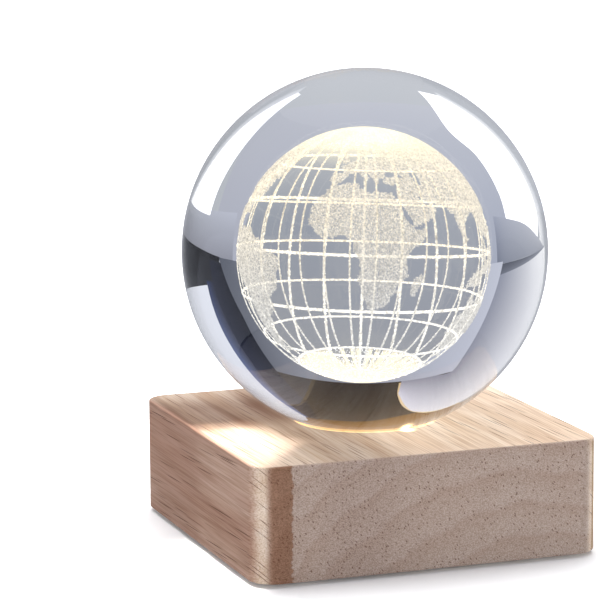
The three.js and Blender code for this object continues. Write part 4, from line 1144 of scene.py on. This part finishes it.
# Cards that stand round the object, seen only through the crystal. Each is a strip between two smooth lines
# of (azimuth, elevation) in degrees, with a gain and a colour at the start and end of the low line, then the
# end and start of the high line. A later card stands in front of the earlier ones.
SURROUNDINGS = (
    ("mat", 1.0, [(-18, -50), (64, -50)], [(-18, -5), (64, -5)],
     ("#c2c5cf", "#c2c5cf", "#b2b5c3", "#a9afc0")),
    ("left_ledge", 1.0, [(54, -17), (85, -18), (118, -20)], [(54, -4.5), (85, -5.5), (118, -6)],
     ("#c0c4d2", "#bfc2c9", "#a0a1ab", "#8e909c")),
    ("left_fade", 1.25, [(97, -18), (90, -30), (82, -43), (73, -52), (62, -60)],
     [(102, -18), (95, -32), (87, -46), (77, -57), (64, -65)],
     ("#fbfcff", "#d4d6dc", "#c0c4ca", "#c0c4ca")),
    ("left_window", 1.9, [(69, -16), (68, -24), (65, -35), (61, -48), (57, -58)],
     [(98, -18), (90, -30), (82, -43), (73, -52), (62, -60)],
     ("#ffffff", "#e2e4ea", "#dfe1e7", "#fbfcff")),
    ("right_fade", 1.3, [(-43, -6), (-45, -14), (-44, -27), (-37, -43), (-22, -57)],
     [(-52, -4), (-54, -14), (-50, -29), (-42, -46), (-25, -61)],
     ("#ffffff", "#ffffff", "#c0c4ca", "#c8cbd0")),
    ("right_window", 1.9, [(-18, -15), (-17.5, -22), (-14, -32), (-7, -41), (-10, -59.5)],
     [(-40, -7.5), (-45, -14), (-44, -27), (-37, -43), (-22, -58)],
     ("#ffffff", "#ffffff", "#ffffff", "#ffffff")),
    ("right_ledge", 0.86, [(-44, -7), (-30, -13), (-18, -15.3), (-12, -16)],
     [(-50, -4), (-30, -4.5), (-16, -4.5), (-12, -4.8)],
     ("#d8dbe4", "#a9afc2", "#7c8396", "#b4b8c4")),
    ("brown", 0.42, [(-22, 23), (62, 23)], [(-22, 47.5), (62, 51)],
     ("#443e3a", "#5a5552", "#827564", "#665646")),
    ("amber", 0.75, [(-30, 48), (0, 44), (20, 48), (35, 49), (50, 51)],
     [(-46, 60), (0, 61), (20, 61), (40, 60), (62, 60)],
     ("#a87c40", "#80581e", "#cf901c", "#d49834")),
    ("cream", 0.9, [(-46, 59), (0, 60), (20, 60), (62, 60)], [(-46, 80), (0, 80), (20, 80), (62, 80)],
     ("#d08c24", "#d8962c", "#ffdf8c", "#ffe09c")),
    ("right_beige", 1.0, [(-54, 20), (-50, 34), (-40, 45), (-25, 48.5)],
     [(-64, 20), (-60, 44), (-50, 60), (-32, 64)],
     ("#bcbcc0", "#b49a7c", "#d8a878", "#b8b8bb")),
    ("golden_edge", 1.2, [(12.2, 24), (11.6, 30), (8, 37.6), (1.2, 43.5), (-10, 47.4), (-26, 47.4)],
     [(11.4, 24), (10.6, 30), (7, 36.8), (0.4, 42.6), (-10, 46.4), (-25, 46.4)],
     ("#c8ab80", "#ffeec8", "#fff3d8", "#d8b98a")),
    ("right_card", 1.45, [(-14, -4.5), (-12, 0), (-9, 8), (-6, 16), (-3.5, 23.2), (4, 23.2), (11.6, 23.2)],
     [(-52, -4), (-53, 12), (-48, 28), (-36, 43), (-16, 47.2), (0.8, 43.2), (7.4, 37), (11.6, 29)],
     ("#777b8a", "#7c7c88", "#c0beca", "#ffffff")),
    ("right_shade", 0.75, [(-50, -4.3), (-14, -4.5)], [(-47, -4.0), (-13, -1.9)],
     ("#8a90a0", "#585c6a", "#787e8e", "#b8bcc8")),
    ("left_card", 1.5, [(68.5, 2.5), (65.5, 14), (61.5, 26), (57, 38), (50, 51)],
     [(116, 13), (116, 25), (116, 38), (110, 50), (60, 58)],
     ("#cbced7", "#cbced7", "#e8e8ee", "#e6e9f0")),
    ("left_card_top", 1.12, [(50, 51), (60, 58), (108, 62)], [(57, 38), (80, 40), (112, 40)],
     ("#e8e8ee", "#e9e9ee", "#e6e9f0", "#e6e9f3")),
    ("left_wedge", 0.05, [(60, -5.9), (80, -6.9), (118, -7.5)], [(62, 1.5), (70, 3), (116, 14)],
     ("#1e1f26", "#707080", "#8d93a6", "#3a4150")),
    ("blue_edge", 0.8, [(64, 1), (59, 13), (55, 25), (52, 37), (47, 51)],
     [(68.7, 1.5), (66, 13), (62, 25), (57.5, 37), (50.5, 51)],
     ("#181c28", "#6a6c7c", "#96a6dc", "#2a3866")),
    ("navy_low", 0.2, [(56, -4.6), (54, 1), (51, 10), (47.5, 19), (45, 26)],
     [(66, -4.6), (64, 2), (60, 12), (56.5, 21), (55, 26)],
     ("#202432", "#50586e", "#586088", "#343d5e")),
    ("navy_high", 0.5, [(45, 25.5), (41, 38), (43, 51)], [(55.2, 25.5), (52, 38), (48.5, 51)],
     ("#484b56", "#5c544f", "#6c6866", "#484e68")),
    ("panel", 1.0, [(-14.5, -5), (57.3, -5.8)], [(-3.6, 23.4), (46, 23.4)],
     ("#c8ccda", "#5f6470", "#6b6f7a", "#c4c7d6")),
    ("panel_corner", 1.0, [(54, -5.8), (60.4, -5.8)], [(49, 8), (51.9, 8)],
     ("#646975", "#565b67", "#6b6f7a", "#6b6f7a")),
    ("globe_shade", 1.0, [(-9, -8), (-4, -22), (8, -34), (21.5, -38), (35, -34), (47, -22), (52, -8)],
     [(-9, -8), (-4, 6), (8, 18), (21.5, 23), (35, 18), (47, 6), (52, -8)],
     ("#a3a9b4", "#a0a6b0", "#94979f", "#989ba4")),
)


def smooth_line(points, steps):
    """Places along a smooth curve through the points, an equal share of the way from each to the next."""
    points = np.array(points, float)
    padded = np.vstack([2 * points[0] - points[1], points, 2 * points[-1] - points[-2]])
    places = []
    for share in np.linspace(0, len(points) - 1, steps + 1):
        k = min(int(share), len(points) - 2)
        t = share - k
        a, b, c, d = padded[k : k + 4]
        bend = (2 * a - 5 * b + 4 * c - d) * t**2 + (3 * b - a - 3 * c + d) * t**3
        places.append(b + (c - a) * t / 2 + bend / 2)
    return np.array(places)


def card_set(name, eye, turn, far=3.0, apart=0.01, steps=36, rows=12):
    """All cards as one mesh round the eye, turned about Z: the first one far away, each later one nearer."""
    corners, faces, tones = [], [], []
    for order, (_, gain, low, high, colours) in enumerate(SURROUNDINGS):
        low, high = smooth_line(low, steps), smooth_line(high, steps)
        ends = [np.array(linear(c)) * gain for c in colours]
        first = len(corners)
        for v in np.linspace(0, 1, rows + 1):
            for u, (azimuth, elevation) in zip(np.linspace(0, 1, steps + 1), low * (1 - v) + high * v):
                a, e = math.radians(azimuth - turn), math.radians(elevation)
                way = Vector((math.sin(a) * math.cos(e), math.cos(a) * math.cos(e), math.sin(e)))
                corners.append(eye + way * (far - apart * order))
                below, above = ends[0] * (1 - u) + ends[1] * u, ends[3] * (1 - u) + ends[2] * u
                tones.append(below * (1 - v) + above * v)
        for j in range(rows):
            for i in range(steps):
                a = first + j * (steps + 1) + i
                faces.append((a, a + 1, a + steps + 2, a + steps + 1))
    return card_piece(name, corners, faces, tones)


def card_piece(name, corners, faces, tones):
    """A glowing piece of the studio, seen only through the crystal, with a colour at each corner."""
    made = mesh_piece(name, corners, faces, bpy.data.materials.get("studio_card") or card_material())
    paint_corners(made, "tone", tones, "FLOAT_COLOR", "color")
    made.visible_camera = made.visible_diffuse = made.visible_glossy = False
    made.visible_shadow = made.visible_volume_scatter = False


def card_material():
    """Card that glows in the colour of its corners."""
    made, tree = bare_material("studio_card")
    tone = add(tree, "ShaderNodeVertexColor", layer_name="tone")
    light = add(tree, "ShaderNodeEmission", {"Color": tone, "Strength": 1.0})
    add(tree, "ShaderNodeOutputMaterial", {"Surface": light})
    return made


def floor_material():
    """White paper table top: matt, and a clean white to the camera but for the shadow."""
    made, tree = bare_material("white_table")
    paper = add(tree, "ShaderNodeBsdfDiffuse", {"Color": "#f4f4f5"})
    camera_ray = Field(add(tree, "ShaderNodeLightPath"), "Is Camera Ray")
    away = Field(add(tree, "ShaderNodeVectorMath", {0: object_mm(tree)}, operation="LENGTH"), "Value")
    seen = camera_ray * step(away, 32, 135, 0.06, 0.9)
    white = add(tree, "ShaderNodeEmission", {"Color": WHITE, "Strength": seen})
    both = add(tree, "ShaderNodeAddShader", {0: paper, 1: white})
    add(tree, "ShaderNodeOutputMaterial", {"Surface": both})
    return made


def world_tree(tree):
    """A soft even light for matt surfaces, a side light for shiny ones, and white behind it all."""
    path = add(tree, "ShaderNodeLightPath").outputs
    soft = add(tree, "ShaderNodeBackground", {"Color": "#e6e7ee", "Strength": 0.52})
    clear = add(tree, "ShaderNodeBackground", {"Color": "#c0c4ca", "Strength": 1.0})
    white = add(tree, "ShaderNodeBackground", {"Color": WHITE, "Strength": 1.0})
    x, y, z = parts(tree, Field(add(tree, "ShaderNodeTexCoord"), "Generated"))
    aside = x * 0.94 + y * -0.34
    bright = step(z, 0.1, 0.8, 0.0, 0.35) + step(aside, -0.62, -0.08, 0.08, 0.72)
    dim = add(tree, "ShaderNodeBackground", {"Color": "#d4d7e0", "Strength": bright})
    matt = add(tree, "ShaderNodeMixShader", {0: path["Is Glossy Ray"], 1: soft, 2: dim})
    through = add(tree, "ShaderNodeMixShader", {0: path["Is Transmission Ray"], 1: matt, 2: clear})
    seen = add(tree, "ShaderNodeMixShader", {0: path["Is Camera Ray"], 1: through, 2: white})
    add(tree, "ShaderNodeOutputWorld", {"Surface": seen})


def area_lamp(name, place, turn, wide, long, watts):
    """A rectangular lamp that neither polished surfaces nor the crystal show."""
    data = bpy.data.lights.new(name, "AREA")
    data.shape, data.size, data.size_y, data.energy = "RECTANGLE", wide, long, watts
    lamp = linked(name, data)
    lamp.matrix_world = Matrix.Translation(place) @ turn.to_4x4()
    lamp.visible_glossy = lamp.visible_transmission = False
    return data


class GLOBEAWARD_OT_studio(bpy.types.Operator):
    """Sets the table, the cards seen through the crystal, the lamps, the world and the camera"""

    bl_idname = "globe_award.studio"
    bl_label = "Studio"

    def execute(self, context):
        scene = context.scene
        self.table()
        self.cards(scene.globe_award_ball.radius)
        self.lamps()
        scene.world = bpy.data.worlds.new("studio_world")
        scene.world.use_nodes = True
        scene.world.node_tree.nodes.clear()
        world_tree(scene.world.node_tree)
        self.camera(scene)
        scene.view_settings.view_transform = "Standard"
        return {"FINISHED"}

    def table(self):
        side = 3.0
        corners = [(-side, -side, 0), (side, -side, 0), (side, side, 0), (-side, side, 0)]
        floor = mesh_piece("studio_table", corners, [(0, 1, 2, 3)], floor_material())
        floor.visible_transmission = floor.visible_glossy = False

    def cards(self, ball_radius):
        # Two like sets, so the crystal looks the same from the front and the back
        eye = Vector((0.015, 0.036, 0.057))
        for turn in (0, 180):
            spin = Matrix.Rotation(math.radians(turn), 4, "Z")
            card_set(f"studio_cards_{turn}", spin @ eye, turn)
        # A grey mat on the base round its seat, so the crystal's top stays clean
        around, rows, centre = 160, 24, BALL_CENTRE
        top = WOOD_HIGH.z + 0.15 * MM
        inner = math.sqrt(ball_radius**2 - (centre.z - top) ** 2) + 0.05 * MM
        ways = circle(around)
        corners = [(inner * x, inner * y, top) for x, y in ways]
        for x, y in ways:
            out = WOOD_HIGH.x / max(abs(x), abs(y))
            corners.append((x * out, y * out, top))
        card_piece("seat_mat", corners, band_faces(2, around), [linear("#d4d6dc")] * len(corners))
        # A pale bowl in the seat, just under the ball
        radius = ball_radius + 0.05 * MM
        rim = math.asin(inner / radius)
        corners = [
            centre + radius * Vector((math.sin(t) * x, math.sin(t) * y, -math.cos(t)))
            for t in np.linspace(rim / rows, rim, rows) for x, y in ways
        ]
        faces = band_faces(rows, around) + [tuple(reversed(range(around)))]
        card_piece("seat_bowl", corners, faces, [linear("#d6d7db")] * len(corners))

    def lamps(self):
        # A wide soft light over the object and a weak one from the front left: name, place, side, watts
        target = Vector((0, 0, 0.02))
        for name, place, side, watts in (
            ("overhead_softbox", (0.05, 0.25, 0.75), 0.7, 8.3),
            ("front_fill", (-0.50, -0.68, 0.07), 0.5, 3.8),
        ):
            aim = (target - Vector(place)).to_track_quat("-Z", "Y").to_matrix()
            area_lamp(name, place, aim, side, side, watts)
        # Two narrow beams, for the patch of window light on the base's top left, in millimetres and degrees
        height, watts_per_mm2, spread = 400, 0.0000055, 1.4
        beams = ((-35.0, -5.5, 19.5, 21, 0), (-36.6, -24.6, 31, 14, 51.3))
        for k, (x, y, wide, long, turn) in enumerate(beams):
            place, spin = Vector((x, y, height)) * MM, Matrix.Rotation(math.radians(turn), 3, "Z")
            watts = watts_per_mm2 * wide * long
            data = area_lamp(f"window_beam_{k + 1}", place, spin, wide * MM, long * MM, watts)
            data.spread, data.color = math.radians(spread), linear("#fffaf0")[:3]

    def camera(self, scene):
        sizes = scene.globe_award_studio
        a, e = sizes.azimuth, sizes.elevation
        back = Vector((math.sin(a) * math.cos(e), -math.cos(a) * math.cos(e), math.sin(e)))
        right = Vector((math.cos(a), math.sin(a), 0))
        up = back.cross(right)
        x = right * math.cos(sizes.roll) + up * math.sin(sizes.roll)
        y = up * math.cos(sizes.roll) - right * math.sin(sizes.roll)
        data = bpy.data.cameras.new("studio_camera")
        data.lens, data.sensor_width = sizes.lens, 36
        data.clip_start, data.clip_end = 0.01, 20
        scene.camera = linked("studio_camera", data)
        turn = Matrix((x, y, back)).transposed()
        scene.camera.matrix_world = Matrix.Translation(sizes.camera) @ turn.to_4x4()


class GLOBEAWARD_PT_panel(bpy.types.Panel):
    """Lists the steps that build the globe award"""

    bl_idname = "GLOBEAWARD_PT_panel"
    bl_label = "Globe award"
    bl_space_type = "VIEW_3D"
    bl_region_type = "UI"
    bl_category = "Globe award"

    def draw(self, context):
        for operator in OPERATORS:
            self.layout.operator(operator.bl_idname)
        for name in GROUPS:
            group = getattr(context.scene, name)
            box = self.layout.box()
            for key in group.__annotations__:
                box.prop(group, key)


OPERATORS = (
    GLOBEAWARD_OT_crystal_ball,
    GLOBEAWARD_OT_engraving,
    GLOBEAWARD_OT_wood_base,
    GLOBEAWARD_OT_lamp,
    GLOBEAWARD_OT_power,
    GLOBEAWARD_OT_underside,
    GLOBEAWARD_OT_studio,
)
GROUPS = {
    "globe_award_ball": BallSizes,
    "globe_award_globe": GlobeSizes,
    "globe_award_base": BaseSizes,
    "globe_award_lamp": LampSizes,
    "globe_award_studio": StudioSizes,
}


def register():
    for group in GROUPS.values():
        bpy.utils.register_class(group)
    for operator in OPERATORS:
        bpy.utils.register_class(operator)
    bpy.utils.register_class(GLOBEAWARD_PT_panel)
    for name, group in GROUPS.items():
        setattr(bpy.types.Scene, name, PointerProperty(type=group))


def unregister():
    for name in GROUPS:
        delattr(bpy.types.Scene, name)
    bpy.utils.unregister_class(GLOBEAWARD_PT_panel)
    for kind in reversed((*GROUPS.values(), *OPERATORS)):
        bpy.utils.unregister_class(kind)


def main():
    register()
    bpy.ops.globe_award.crystal_ball()
    bpy.ops.globe_award.engraving()
    bpy.ops.globe_award.wood_base()
    bpy.ops.globe_award.lamp()
    bpy.ops.globe_award.power()
    bpy.ops.globe_award.underside()
    bpy.ops.globe_award.studio()


if __name__ == "__main__":
    main()
